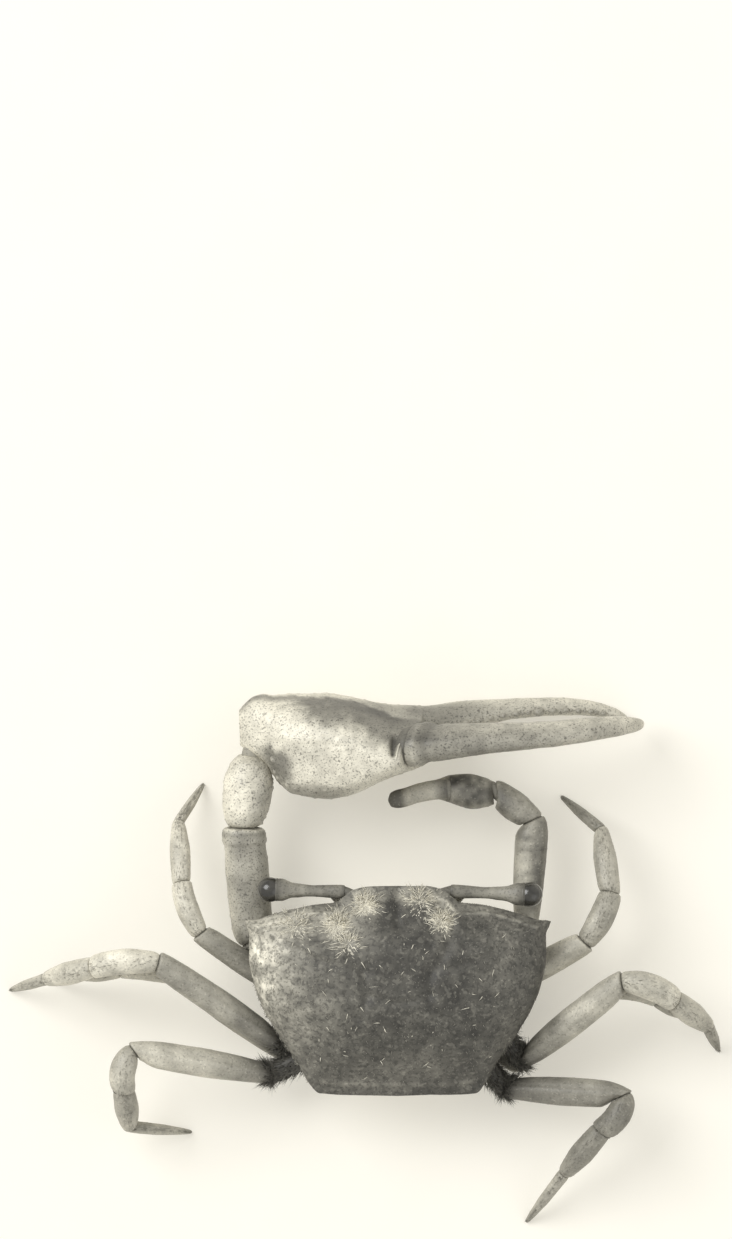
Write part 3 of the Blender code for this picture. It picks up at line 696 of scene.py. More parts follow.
# %% Grooves, ridges and grains
def near_line(x, y, points, width):
    """1 on a smooth line through the points, falling off as a bell: exp(-(distance/width)^2)."""
    points = np.array(points, float)
    shares = np.linspace(0.0, 1.0, len(points))
    fine = np.linspace(0.0, 1.0, 40)
    line = np.stack([curve(shares, points[:, i])(fine) for i in (0, 1)], axis=-1)
    distance = np.min(np.hypot(x[..., None] - line[:, 0], y[..., None] - line[:, 1]), axis=-1)
    return np.exp(-(distance / width) ** 2)


GROOVES = (
    (((3.6, 1.6), (4.6, 3.6), (3.9, 5.8), (2.7, 7.6), (2.6, 9.2), (3.4, 11.2)), 0.5, 0.17),
    (((9.8, 4.4), (7.6, 5.9), (5.4, 6.6), (3.0, 7.2)), 0.5, 0.12),
    (((-2.8, 9.2), (0.0, 9.9), (2.8, 9.2)), 0.4, 0.14),
    (((3.4, 11.2), (3.9, 13.4), (4.9, 15.4)), 0.5, 0.1),
    (((0.0, 0.2), (0.0, 1.6), (0.0, 3.4)), 0.35, 0.12),
)
ORBIT_RIDGE = ((4.9, 2.35), (7.3, 2.3), (10.0, 2.95), (11.8, 3.5))
REAR_RIDGE = ((0.0, 16.9), (4.0, 16.85), (6.4, 16.6))


def carapace_relief(grid):
    """Grooves, low swellings, fine ridges inside the edge and grains that thicken outwards."""
    x = np.abs(grid[..., 0])
    y = grid[..., 1]
    height = 0.05 * noise(grid, 2.6, 11) + 0.02 * noise(grid, 0.7, 12)
    for points, width, depth in GROOVES:
        height -= depth * near_line(x, y, points, width)
    height += 0.07 * near_line(x, y, ORBIT_RIDGE, 0.14) + 0.06 * near_line(x, y, REAR_RIDGE, 0.2)
    flank = ramped(x, 6.0, 11.5)
    height += (0.015 + 0.045 * flank) * grains(grid, 0.5, 13, share=0.7)
    return height - 0.03 * grains(grid, 0.8, 17, radius=0.25, share=0.3)


shell = relief(shell, carapace_relief(shell))
print("highest point of the carapace:", shell[..., 2].max().round(2), "mm")

# %% [markdown]
# The shell is darkest in its middle and towards the rear, and paler on the lobe between the eyes
# and on its left flank, where the pale is a painted highlight on the side that faces the light.
# Each patch is a bell in x times a bell in y, with ragged edges.

# %% Dark ground and pale patches
# Each patch has a middle (x, y), half sizes, and how much paler it is than the ground
PATCHES = (
    # The first patch, on the left flank, is a painted highlight where the flank faces the light
    ((11.9, 6.6), (2.3, 4.2), 0.6), ((9.4, 6.5), (2.8, 5.5), 0.12),
    ((8.4, 12.4), (1.8, 2.6), 0.12), ((5.6, 11.4), (1.7, 3.0), 0.09),
    ((8.2, 2.6), (2.6, 1.4), 0.24), ((5.1, 3.3), (1.2, 1.1), 0.42),
    ((2.7, 1.6), (1.2, 1.0), 0.38), ((3.2, 0.6), (1.6, 0.7), 0.2),
    ((-1.8, 0.7), (2.4, 0.9), 0.3), ((-3.8, 2.9), (0.9, 1.2), 0.3),
    ((3.8, 4.4), (1.6, 1.2), 0.15), ((-6.3, 1.9), (1.8, 0.5), 0.12),
    ((-9.6, 4.6), (2.0, 3.4), 0.07), ((-8.6, 9.0), (1.8, 2.8), 0.05),
    ((2.0, 16.6), (5.5, 1.3), 0.07), ((-1.9, 14.9), (1.8, 0.9), 0.09),
    ((0.6, 2.0), (0.75, 1.1), -0.16), ((-3.0, 6.5), (5.0, 6.0), -0.02))
FRONT_LINE = ((-2.9, 0.9), (-3.9, 1.2), (-4.7, 2.0))
SHELL_TONE = 0.066


def carapace_tone(grid):
    """A dark ground plus soft patches that noise breaks up, with pale lines on the ridges."""
    x = grid[..., 0]
    y = grid[..., 1]
    ragged = 1.0 + 0.45 * noise(grid, 0.5, 23) + 0.4 * noise(grid, 1.4, 24)
    tone = SHELL_TONE * (1.0 + 0.3 * noise(grid, 3.0, 21) + 0.5 * noise(grid, 0.7, 22))
    for (mid_x, mid_y), (wide, tall), strength in PATCHES:
        tone += strength * bell(x, mid_x, wide) * bell(y, mid_y, tall) * ragged
    tone += 0.3 * near_line(x, y, FRONT_LINE, 0.16)
    tone += 0.14 * near_line(np.abs(x), y, ORBIT_RIDGE, 0.14) * ragged
    return np.maximum(tone + 0.08 * near_line(np.abs(x), y, REAR_RIDGE, 0.2) * ragged, 0.03)


shell_tone = carapace_tone(shell)
skin("carapace", shell, CARAPACE_FINISH, shell_tone)
print("carapace tones from", shell_tone.min().round(3), "to", shell_tone.max().round(3))

# %% [markdown]
# ## Velvet on the carapace
# Dried mud and short pale bristles cling in the hollows of the front. The bristles of a patch
# spread from its middle like a tuft pressed flat, which is what makes it look like a star.

# %% Pale patches of bristle
VELVET = (
    ((2.7, 1.6), 0.8, 300), ((5.1, 3.3), 0.9, 320), ((-3.8, 3.0), 0.75, 300),
    ((-1.9, 1.2), 1.1, 160), ((8.6, 3.4), 1.2, 120), ((4.2, 4.9), 0.9, 110))
LONE_BRISTLES = 60
DOWN = 1500
DOME_FROM = len(UNDER_SHARES) + len(RIM_RINGS)


def lying(dome, normal, spots, away, lengths, random):
    """Bristles at the dome's points nearest to some spots, lying the way they are told."""
    flat = dome[..., :2].reshape(-1, 2)
    nearest = np.array([np.argmin(((flat - spot) ** 2).sum(axis=1)) for spot in spots])
    rows, columns = np.divmod(nearest, dome.shape[1])
    count = len(spots)
    level = np.array((1.0, 1.0, 0.2))
    jitter = random.normal(0.0, 0.3, (count, 3)) * level
    ways = unit(unit(away) + 0.3 * normal[rows, columns] + jitter)
    bends = -0.14 * normal[rows, columns] + random.normal(0.0, 0.25, (count, 3)) * level
    share = np.stack((columns / dome.shape[1], rows / len(dome)), axis=-1)
    return dome[rows, columns], ways, bends, random.uniform(*lengths, count), share


def velvet():
    """Stars of pale bristles, single ones across the dome and short grey down on the flanks."""
    random = np.random.default_rng(5)
    dome = shell[DOME_FROM:]
    normal = normals(shell)[DOME_FROM:]
    coats = []
    for middle, spread, count in VELVET:
        steps = random.normal(0.0, spread * 0.55, (count, 2))
        away = np.column_stack((steps, np.zeros(count))) + 1e-6
        coats.append(lying(dome, normal, np.array(middle) + steps, away, (0.3, 0.75), random))
    spots = np.column_stack((random.uniform(-9.5, 8.5, LONE_BRISTLES),
                             random.uniform(4.0, 16.5, LONE_BRISTLES)))
    away = random.normal(0.0, 1.0, (LONE_BRISTLES, 3)) * np.array((1.0, 1.0, 0.0))
    coats.append(lying(dome, normal, spots, away, (0.25, 0.65), random))
    bristles("carapace_velvet", coats, 0.08, PALE_HAIR)
    count = 6 * DOWN
    spots = np.column_stack((random.uniform(-12.5, 12.8, count), random.uniform(0.3, 17.0, count)))
    chance = 0.12 + 0.7 * ramped(spots[:, 0], 4.0, 11.0) + 0.4 * ramped(-spots[:, 1], -4.0, -1.0)
    spots = spots[random.random(count) < chance][:DOWN]
    away = np.column_stack((random.normal(0.0, 0.6, len(spots)), np.full(len(spots), 1.0),
                            np.zeros(len(spots))))
    coat = lying(dome, normal, spots, away, (0.14, 0.3), random)
    bristles("carapace_down", [coat], 0.05, LEG_HAIR)


velvet()
print("velvet patches:", len(VELVET))

# %% [markdown]
# ## The thorax and what lies against it
# Under the carapace the body narrows quickly to the leg sockets. Its lower levels are rounded
# boxes; the flanks above them follow the carapace's edge. The folded tail and the two mouth
# plates hug the thorax, so both are worked out from its own front and rear walls.

# %% The thorax's levels
# Each level has a height, a half width, a front and a rear
THORAX_LEVELS = (
    (5.3, 7.4, 1.5, 16.3), (4.0, 6.6, 2.1, 15.6), (2.4, 6.2, 3.2, 14.0), (1.75, 5.4, 4.0, 13.2))
THORAX_POWER = 2.8
FLANK = 1.5
FLANK_BOX = (10.4, 1.1, 16.9)


def thorax_level(edge, z, half, front, rear):
    """A rounded box outline at one height, its points at the edge's own angles."""
    angle = np.arctan2(CARAPACE_MIDDLE - edge[:, 1], edge[:, 0])
    wide, deep = superellipse(angle, THORAX_POWER)
    y = (front + rear) / 2.0 - deep * (rear - front) / 2.0
    return np.stack((wide * half, y, np.broadcast_to(z, len(edge))), axis=-1)


def thorax_grid(sides, rows):
    """Stacked outlines from under the carapace down to the belly, eased between levels."""
    edge = carapace_edge(sides // 2)
    top = [body_ring(edge, share, under_height(edge, share) - GAP) for share in (0.2, 0.6, 0.93)]
    flank = body_ring(edge, 0.86, EDGE_HEIGHT(edge[:, 1]) - FLANK)
    rounded = thorax_level(edge, flank[:, 2], *FLANK_BOX)
    levels = np.array([top[-1], (flank + rounded) / 2.0]
                      + [thorax_level(edge, *level) for level in THORAX_LEVELS])
    shares = np.linspace(0.0, 1.0, rows)
    stations = np.linspace(0.0, 1.0, len(levels))
    lower = np.empty((rows, len(edge), 3))
    for i, share in enumerate(shares):
        k = min(int(share * (len(levels) - 1)), len(levels) - 2)
        t = (share - stations[k]) / (stations[k + 1] - stations[k])
        lower[i] = levels[k] * (1.0 - t) + levels[k + 1] * t
    belly = lower[-1]
    middle = belly.mean(axis=0)
    inner = [middle + (belly - middle) * share for share in (0.7, 0.4, 0.1)]
    return np.concatenate((np.array(top[:-1]), lower, np.array(inner)))


def thorax_half(z):
    """Half width, front and rear of the thorax at each height."""
    heights = [level[0] for level in THORAX_LEVELS][::-1]
    return [np.interp(z, heights, [level[i] for level in THORAX_LEVELS][::-1])
            for i in (1, 2, 3)]


def thorax_end(x, z, end):
    """How far back the thorax's front (-1) or rear (+1) wall lies."""
    half, front, rear = thorax_half(z)
    share = np.minimum(np.abs(x) / half, 1.0)
    depth = (rear - front) / 2.0 * (1.0 - share ** THORAX_POWER) ** (1.0 / THORAX_POWER)
    return (front + rear) / 2.0 + end * depth


thorax = thorax_grid(280, 60)
print("thorax points:", thorax.shape[0] * thorax.shape[1])

# %% [markdown]
# The belly is made of plates, one for each pair of limbs. A furrow parts each two, and it is
# painted darker than the plates.

# %% The belly's seams
SEAMS = (4.9, 7.2, 9.6, 12.0, 14.0)
SEAM_BEND = 0.12
SEAM_WIDTH = 0.16


def seam_line(grid, seam):
    """1 along a seam that bends forwards on both sides of the belly."""
    return bell(grid[..., 1] + SEAM_BEND * np.abs(grid[..., 0]), seam, SEAM_WIDTH)


def thorax_relief(grid):
    """Furrows between the plates of the belly, low swellings and grains on the flanks."""
    height = 0.05 * noise(grid, 1.4, 31) + 0.03 * grains(grid, 0.6, 32)
    low = ramped(-grid[..., 2], -4.6, -3.2)
    for seam in SEAMS:
        height -= 0.24 * low * seam_line(grid, seam)
    return height


def thorax_tone(grid):
    """Pale below and dark on the flanks, with dark seams."""
    belly = ramped(-grid[..., 2], -7.5, -4.5)
    lines = sum(seam_line(grid, seam) for seam in SEAMS)
    return (0.16 + 0.36 * belly + 0.06 * noise(grid, 2.5, 33)) * (1.0 - 0.35 * lines * belly)


thorax = relief(thorax, thorax_relief(thorax))
skin("thorax", thorax, BELLY_FINISH, thorax_tone(thorax))
print("seams on the belly:", len(SEAMS))

# %% [markdown]
# The tail is folded flat under the body and narrow in a male. The mouth plates are two shields
# that close over the mouthparts. Both are bands: an inner face that follows the thorax's wall at a
# small distance, and an outer face that stands off it by the plate's own thickness.

# %% The mouth plates and the folded tail
PLATE_GAP = GAP + 0.1
TAIL_GAP = GAP + 0.05
TAIL_SEGMENT_ROWS = 9


def plate(inner, outer):
    """A closed band of rings from an inner and an outer row at each station."""
    return np.concatenate((inner, outer[:, ::-1]), axis=1)


def mouth_plate(name, side):
    """A shield with a rounded outer side and a groove down its middle, on the thorax's front."""
    z = np.linspace(2.6, 5.2, 30)[:, None]
    widest = 2.9 - 0.5 * ((z - 4.2) / 1.6) ** 2
    share = np.linspace(0.0, 1.0, 24)[None, :]
    x = 0.2 + (widest - 0.2) * share
    wall = thorax_end(x, z, -1) - PLATE_GAP
    crown = 0.5 + 0.25 * np.sin(math.pi * share) - 0.12 * bell(share, 0.55, 0.08)
    z = np.broadcast_to(z, x.shape)
    inner = np.stack((x, wall, z), axis=-1)
    outer = np.stack((x, wall - crown, z), axis=-1)
    grid = plate(inner, outer)
    skin(name, grid, BELLY_FINISH, 0.55 + 0.2 * noise(grid, 0.8, 34), side)


def tail():
    """Rings down the rear wall and forward under the belly, with a groove at each segment."""
    stations = np.array((
        (4.9, 4.6, 1.0, 0.0), (4.0, 4.4, 1.0, 0.0), (2.9, 4.1, 1.0, 0.0), (2.3, 3.8, 0.9, -0.45)))
    share = np.linspace(-1.0, 1.0, 25)[None, :]
    rear = np.stack([curve(np.arange(4), stations[:, i])(np.linspace(0, 3, 24)) for i in range(4)])
    z, half, out_y, out_z = (row[:, None] for row in rear)
    x = half * share
    wall = np.stack((x, thorax_end(x, z, 1), np.broadcast_to(z, x.shape)), axis=-1)
    way = np.stack(np.broadcast_arrays(0.0 * x, out_y, out_z), axis=-1)
    y = curve((0, 1, 2, 3, 4), (12.9, 11.0, 8.5, 6.5, 5.9))(np.linspace(0, 4, 40))[:, None]
    wide = curve((0, 1, 2, 3, 4), (3.4, 2.8, 2.3, 1.6, 0.9))(np.linspace(0, 4, 40))[:, None]
    x = wide * share
    floor = THORAX_LEVELS[-1][0]
    belly = np.stack(np.broadcast_arrays(x, y, floor + 0.0 * x), axis=-1)
    back = np.clip((y - 11.5) / 1.4, 0.0, 1.0) * 0.6
    down = np.stack(np.broadcast_arrays(0.0 * x, back, -1.0 + 0.0 * x), axis=-1)
    wall = np.concatenate((wall, belly))
    way = np.concatenate((way, down))
    rows = np.arange(len(wall))[:, None]
    segment = (rows % TAIL_SEGMENT_ROWS) / TAIL_SEGMENT_ROWS
    swell = np.sin(math.pi * segment) ** 0.6
    thick = (0.5 + 0.16 * swell) * (1.0 - 0.45 * np.abs(share) ** 4) + 0.05 * bell(share, 0.0, 0.18)
    grid = plate(wall + way * TAIL_GAP, wall + way * TAIL_GAP + way * thick[..., None])
    shade = (0.3 + 0.35 * swell) * (1.0 - 0.3 * np.abs(share) ** 3)
    shade = np.concatenate((shade, shade[:, ::-1]), axis=1)
    skin("abdomen", grid, BELLY_FINISH, shade * (1.0 + 0.25 * noise(grid, 1.0, 35)))


mouth_plate("maxilliped_l", 1)
mouth_plate("maxilliped_r", -1)
tail()
print("mouth plates and tail made")

# %% [markdown]
# ## Limbs
# A limb segment is a tube between two joints. Its first ring lies in the first joint's face and
# its last ring in the second's, so two neighbours always meet face to face across a thin gap,
# where soft membrane shows on the real crab.

# %% Tubes between joint faces
SKIN_GAP = 0.1
FACE_SHARE = 0.3
RIM_SHARE = 0.07


def tube(start, end, face_start, face_end, wide, bend=(0.0, 0.0, 0.0), rows=72, sides=48,
         pinch=0.8):
    """Rings about a bowed line: the facing turns from one joint face to the other."""
    along = unit(end - start)
    bend = np.array(bend, float)
    t = 0.5 - 0.5 * np.cos(np.linspace(0.0, math.pi, rows))
    column = t[:, None]
    length = np.linalg.norm(end - start)
    facing = unit(along + 4.0 * (1.0 - 2.0 * column) * bend / length)
    near = np.maximum(0.0, 1.0 - column / FACE_SHARE) ** 2
    far = np.maximum(0.0, 1.0 - (1.0 - column) / FACE_SHARE) ** 2
    facing = unit(facing * (1.0 - near - far) + face_start * near + face_end * far)
    across = unit(np.cross(UP, facing))
    lift = np.cross(facing, across)
    rim = np.clip(np.minimum(t, 1.0 - t) / RIM_SHARE, 0.0, 1.0)
    size = pinch + (1.0 - pinch) * np.sqrt(rim * (2.0 - rim))
    centres = start + (end - start) * column + 4.0 * column * (1.0 - column) * bend
    half = size * wide(t) / 2.0
    return sections(centres, across, lift, half, half, sides)


def limb(joints, first_face, last_face=None):
    """Start, end and joint faces of each segment, with SKIN_GAP left between neighbours."""
    joints = [np.array(joint, float) for joint in joints]
    ways = [unit(b - a) for a, b in zip(joints, joints[1:])]
    faces = [unit(first_face)]
    faces += [unit(a + b) for a, b in zip(ways, ways[1:])]
    faces.append(ways[-1] if last_face is None else unit(last_face))
    spans = []
    for i, way in enumerate(ways):
        start = joints[i] + way * (SKIN_GAP / 2.0) / float(way @ faces[i])
        end = joints[i + 1]
        if i + 1 < len(ways):
            end = end - way * (SKIN_GAP / 2.0) / float(way @ faces[i + 1])
        spans.append((start, end, faces[i], faces[i + 1]))
    return spans


print("joint faces of a bent limb:", len(limb(((0, 0, 0), (1, 0, 0), (1, 1, 0)), (1, 0, 0))) + 1)

# %% [markdown]
# Where a limb leaves the body, its root stands off the thorax's wall by a little more than half
# the gap. The soft skin of a joint is a few rings that blend from one end face to the next and are
# sunk into both, so no light shows through.

# %% Sockets and soft joints
MEMBRANE_SNUG = 0.93
MEMBRANE_SUNK = 0.35


def thorax_side(y, z):
    """The thorax wall's half width at a place along it, and the way it faces."""
    half, front, rear = thorax_half(z)
    middle = (front + rear) / 2.0
    depth = (rear - front) / 2.0
    share = abs(y - middle) / depth
    x = half * (1.0 - share ** THORAX_POWER) ** (1.0 / THORAX_POWER)
    slope = math.copysign(share ** (THORAX_POWER - 1.0) / depth, y - middle)
    return x, unit((x ** (THORAX_POWER - 1.0) / half ** THORAX_POWER, slope, 0.0))


def socket(y, z, depth):
    """Where a limb's root stands off the thorax wall, measured at the root's upper edge."""
    x, normal = thorax_side(y, z + depth / 2.0)
    return np.array((x, y, z)) + normal * (GAP / 2.0 + 0.05), normal


def membrane(near, far):
    """Soft skin across a joint: rings blend from one face to the next, sunk into both ends."""
    first = near[-1].mean(axis=0)
    last = far[0].mean(axis=0)
    before = unit(first - near[-4].mean(axis=0)) * MEMBRANE_SUNK
    after = unit(far[3].mean(axis=0) - last) * MEMBRANE_SUNK
    inner = (near[-1] - first) * MEMBRANE_SNUG
    outer = (far[0] - last) * MEMBRANE_SNUG
    rings = [inner * 0.9 + first - before]
    for t in np.linspace(0.0, 1.0, 7):
        swell = 1.0 + 0.07 * math.sin(math.pi * t)
        rings.append((inner * (1.0 - t) + outer * t) * swell + first * (1.0 - t) + last * t)
    rings.append(outer * 0.9 + last + after)
    return np.array(rings)


def root_membrane(grid, reach=0.6):
    """The same skin from a limb's first ring straight back into what carries it."""
    middle = grid[0].mean(axis=0)
    way = unit(grid[3].mean(axis=0) - middle)
    ring = (grid[0] - middle) * MEMBRANE_SNUG
    steps = ((0.9, -reach), (1.0, -0.3 * reach), (1.0, 0.0), (0.9, 0.3))
    return np.array([middle + ring * size + way * step for size, step in steps])


def joint_skin(name, grids, tone, side):
    """All the soft joints of a limb as one piece."""
    pieces = [root_membrane(grids[0])] + [membrane(a, b) for a, b in zip(grids, grids[1:])]
    tones = [tone + 0.05 * noise(piece, 0.4, 44) for piece in pieces]
    skin(name, pieces, JOINT_FINISH, tones, side, replaced=())


print("socket of a leg:", socket(8.6, 3.9, 1.4)[0].round(2))

# %% [markdown]
# ## The great claw
# The claw makes this crab: a hand as long as the carapace is wide and two long fingers. Its back
# and lower edges, its thickness and its lean are curves of the length, read from its three side
# views. The fixed finger starts where the palm's back edge drops away, and the movable finger
# hangs from the palm's end and curves down past its tip.

# %% Claw frame and outlines
CLAW_AT = np.array((13.47, -14.47, 0.05))
CLAW_ROLL = math.radians(15.0)
CLAW_TURN = math.radians(2.2)
FINGER_ROOT = 15.7


def claw_frame(at, roll, turn):
    """Origin and axes of a claw: along its length, up to its back edge, out to its outer face."""
    length = np.array((-math.cos(turn), -math.sin(turn), 0.0))
    outwards = np.array((math.sin(turn), -math.cos(turn), 0.0))
    back = math.cos(roll) * UP - math.sin(roll) * outwards
    outer = math.cos(roll) * outwards + math.sin(roll) * UP
    return at, length, back, outer


def hand_grid(axes, l, top, bottom, thick, inwards, sides, power, waist=None):
    """Superellipse rings between two edges, widest at the waist, or half way up without one."""
    at, length, back, outer = axes
    low = bottom(l)
    middle = (top + low) / 2.0 if waist is None else waist
    wide, deep = superellipse(around(sides)[None, :], np.broadcast_to(power, len(l))[:, None])
    reach = np.where(deep > 0.0, (top - middle)[:, None], (middle - low)[:, None])
    high = middle[:, None] + deep * reach
    out = wide * thick(l)[:, None] / 2.0 - inwards(l)[:, None]
    return at + l[:, None, None] * length + high[..., None] * back + out[..., None] * outer


def finger_grid(axes, along, height, depth, thick, inwards, rows, sides):
    """Rings of a movable finger, square to its own curved axis but upright at its root."""
    at, length, back, outer = axes
    s = np.linspace(0.0, 1.0, rows)
    step = 0.01
    way = unit(np.stack((along(s + step) - along(s - step), height(s + step) - height(s - step)),
                        axis=-1))
    root = np.clip(1.0 - s / 0.06, 0.0, 1.0)[:, None]
    way = unit(way * (1.0 - root) + np.array((1.0, 0.0)) * root)
    lift = way[:, :1] * back - way[:, 1:] * length
    centres = (at + along(s)[:, None] * length + height(s)[:, None] * back
               - inwards(s)[:, None] * outer)
    return sections(centres, np.broadcast_to(outer, (rows, 3)), lift, thick(s) / 2.0,
                    depth(s) / 2.0, sides)


print("claw length along", claw_frame(CLAW_AT, CLAW_ROLL, CLAW_TURN)[1].round(3))

# %% The great claw's arm
def arm_tone(grid, base, seed, spread=0.3):
    """An even tone times broad and narrow mottling."""
    broad = spread * noise(grid, 1.5, seed)
    return base * (1.0 + broad + 0.5 * spread * noise(grid, 0.5, seed + 1))


def great_arm():
    """Base, merus and carpus of the left arm; the merus ends in a slightly wider collar."""
    first, facing = socket(5.2, 4.1, 2.9)
    spans = limb((first, (12.3, 4.4, 4.6), (13.1, -4.9, 5.6), (12.4, -11.0, 6.1)), facing)
    widths = {
        "base": curve((0.0, 0.5, 1.0), (2.8, 3.1, 3.2)),
        "merus": curve((0.0, 0.12, 0.6, 0.84, 0.88, 1.0), (3.0, 3.5, 3.7, 3.5, 3.75, 3.75)),
        "carpus": curve((0.0, 0.1, 0.3, 0.6, 0.85, 1.0), (2.7, 3.3, 4.0, 4.2, 3.5, 2.3)),
    }
    tones = {"base": 0.2, "merus": 0.35, "carpus": 0.74}
    grids = []
    for span, (part, wide) in zip(spans, widths.items()):
        bend = 0.3 * UP if part == "carpus" else (0.0, 0.0, 0.0)
        grid = tube(*span, wide, bend, rows=130, sides=112)
        coarse = 0.05 + 0.05 * ramped(12.6 - grid[..., 0], 0.0, 1.2) * (part == "carpus")
        grid = relief(grid, 0.03 * noise(grid, 1.0, 41) + coarse * grains(grid, 0.5, 42, share=0.8))
        tone = arm_tone(grid, tones[part], 43)
        if part == "merus":
            along = np.linspace(0.0, 1.0, len(grid))[:, None]
            tone *= 1.0 - 0.35 * bell(along, 0.86, 0.04) - 0.3 * ramped(0.25 - along, 0.0, 0.25)
            tone *= 1.0 + 0.3 * ramped(along, 0.88, 0.94)
            # Painted light: the merus is paler along its outer side, which faces the light
            tone *= 1.0 + 0.45 * ramped(grid[..., 0], 13.2, 14.6)
        if part == "carpus":
            # Painted shade: the carpus is darker on its inner side, away from the light
            tone *= 1.0 - 0.34 * ramped(12.6 - grid[..., 0], -0.8, 1.2)
            tone *= 1.0 - 0.25 * ramped(grid[..., 1], -6.2, -5.0)
        skin(f"claw_l_{part}", grid, CLAW_FINISH, tone)
        grids.append(grid)
    wrist = root_membrane(grids[-1][::-1], 1.4)
    joint_skin("claw_l_joints", grids, 0.3, 1)
    skin("claw_l_wrist", wrist, JOINT_FINISH, 0.35, replaced=())


great_arm()
print("great arm made")

# %% [markdown]
# ## The great claw's hand and finger
# The joint between palm and finger isn't square: its plane leans back, so the finger's upper edge
# starts nearer to the wrist than its biting edge. The palm swells most a third of the way along.
# Its outer face is dark above and pale below, its upper and inner faces are pale with dark specks,
# and a rough dark hollow marks the place where the wrist folds against it.

# %% The great claw's hand in outline
HAND_LENGTH = 33.0
PALM_END = 15.4
GAPE_HEIGHT = 7.3
JOINT_SLANT = 0.4
SLANT_START = 9.0
TIP_ROUND = 0.9
FINGER_TOP = curve((FINGER_ROOT, 16.4, 17.6, 18.9, 22.4, 27.3, 30.1, 32.1, 33.0),
                   (7.3, 6.6, 5.3, 4.5, 3.65, 2.6, 2.15, 1.95, 1.6))
HAND_INWARDS = curve(
    (0.0, 1.0, 2.0, 3.0, 4.25, 7.2, 13.4, 16.0, 18.4, 21.0, 23.5, 27.0, 30.0, 33.0),
    (-0.6, -0.6, -0.35, 0.5, 1.1, 1.35, 1.25, 1.1, 0.55, 0.15, -0.05, 0.0, 0.35, 1.15))


def slanted(grid, axes, amount):
    """Lean rings back along the claw by an amount for each millimetre above the gape."""
    at, length, back = axes[:3]
    rise = np.maximum((grid - at) @ back - GAPE_HEIGHT, 0.0)
    return grid - (amount[:, None] * rise)[..., None] * length


def hand_shape(axes):
    """The palm and the fixed finger as rings between their upper and lower curves."""
    palm_top = curve((0.0, 0.8, 1.8, 4.1, 7.4, 11.2, 14.2, PALM_END),
                     (7.2, 8.1, 8.7, 10.5, 11.7, 12.55, 12.75, 12.55))
    bottom = curve((0.0, 0.7, 2.3, 5.4, 9.2, 15.0, 21.4, 26.5, 30.3, 32.4, 33.0),
                   (5.4, 4.4, 2.9, 1.35, 0.75, 0.35, 0.1, 0.0, 0.35, 0.95, 1.4))
    thick = curve(
        (0.0, 1.0, 2.0, 3.0, 4.25, 7.2, 9.4, 11.3, 13.4, 16.0, 18.4, 21.0, 23.5, 31.0, 33.0),
        (3.0, 4.6, 5.6, 6.9, 8.0, 8.3, 7.5, 6.2, 5.0, 4.0, 2.9, 2.0, 1.5, 1.2, 0.8))
    power = curve((0.0, 4.0, 9.0, 14.0, 33.0), (2.2, 3.0, 2.7, 2.2, 2.1))
    l = np.concatenate((np.linspace(0.0, PALM_END, 160), np.linspace(15.43, FINGER_ROOT, 24),
                        np.linspace(15.8, 32.6, 150), np.linspace(32.65, HAND_LENGTH, 12)))
    step = ramped(l, PALM_END, FINGER_ROOT)
    top = palm_top(np.minimum(l, PALM_END)) * (1.0 - step)
    top += FINGER_TOP(np.maximum(l, FINGER_ROOT)) * step
    middle = (top + bottom(l)) / 2.0
    ease = ramped(l, SLANT_START, PALM_END)
    finger_middle = (FINGER_TOP(FINGER_ROOT) + bottom(FINGER_ROOT)) / 2.0
    waist = np.where(l < FINGER_ROOT, middle * (1.0 - ease) + finger_middle * ease, middle)

    def blunt(x):
        """Thickness times the root of the distance to the tip, which rounds the tip off."""
        return thick(x) * np.sqrt(np.clip((HAND_LENGTH + 0.02 - x) / TIP_ROUND, 0.02, 1.0))

    grid = hand_grid(axes, l, top, bottom, blunt, HAND_INWARDS, 256, power(l), waist)
    lean = JOINT_SLANT * np.clip((l - SLANT_START) / (FINGER_ROOT - SLANT_START), 0.0, 1.0) ** 2
    return l, slanted(grid, axes, lean)


def claw_places(grid, axes):
    """Each point's height above the lower edge and its distance outwards in the claw's frame."""
    at, _, back, outer = axes
    return (grid - at) @ back, (grid - at) @ outer


CLAW_AXES = claw_frame(CLAW_AT, CLAW_ROLL, CLAW_TURN)
hand_stations, hand_rings = hand_shape(CLAW_AXES)
print("rings of the hand:", len(hand_stations))

# %% [markdown]
# The palm is roughest beside the wrist and smooth on the fingers. At its end, where the movable
# finger turns, a pale ridge stands beside a pit. The masks of both take the length along the claw,
# the height above its lower edge and the distance outwards.

# %% Wrist patch, knuckle and relief
RIDGE_LINES = (((14.3, 0.9), (15.0, 0.75), (15.2, 0.4)), ((15.2, 0.4), (14.8, 0.0), (14.8, -0.8)))


def wrist_patch(l, high, out):
    """1 in the rough hollow beside the wrist, on the palm's upper inner side."""
    return ramped(high, 7.4, 9.0) * between(l, 1.7, 4.2, 0.7) * between(out, -3.5, -0.7, 0.6)


def knuckle(l, high, out):
    """A pale ridge at the palm's end and a pit beside it, where the movable finger turns."""
    ridge = np.maximum(*(near_line(l, out, line, 0.14) for line in RIDGE_LINES))
    pit = bell(l, 13.9 + 0.3 * (0.4 - out), 0.45) * between(out, -0.8, 0.6, 0.3)
    upper = ramped(high, 9.5, 11.0)
    return ridge * upper, pit * upper


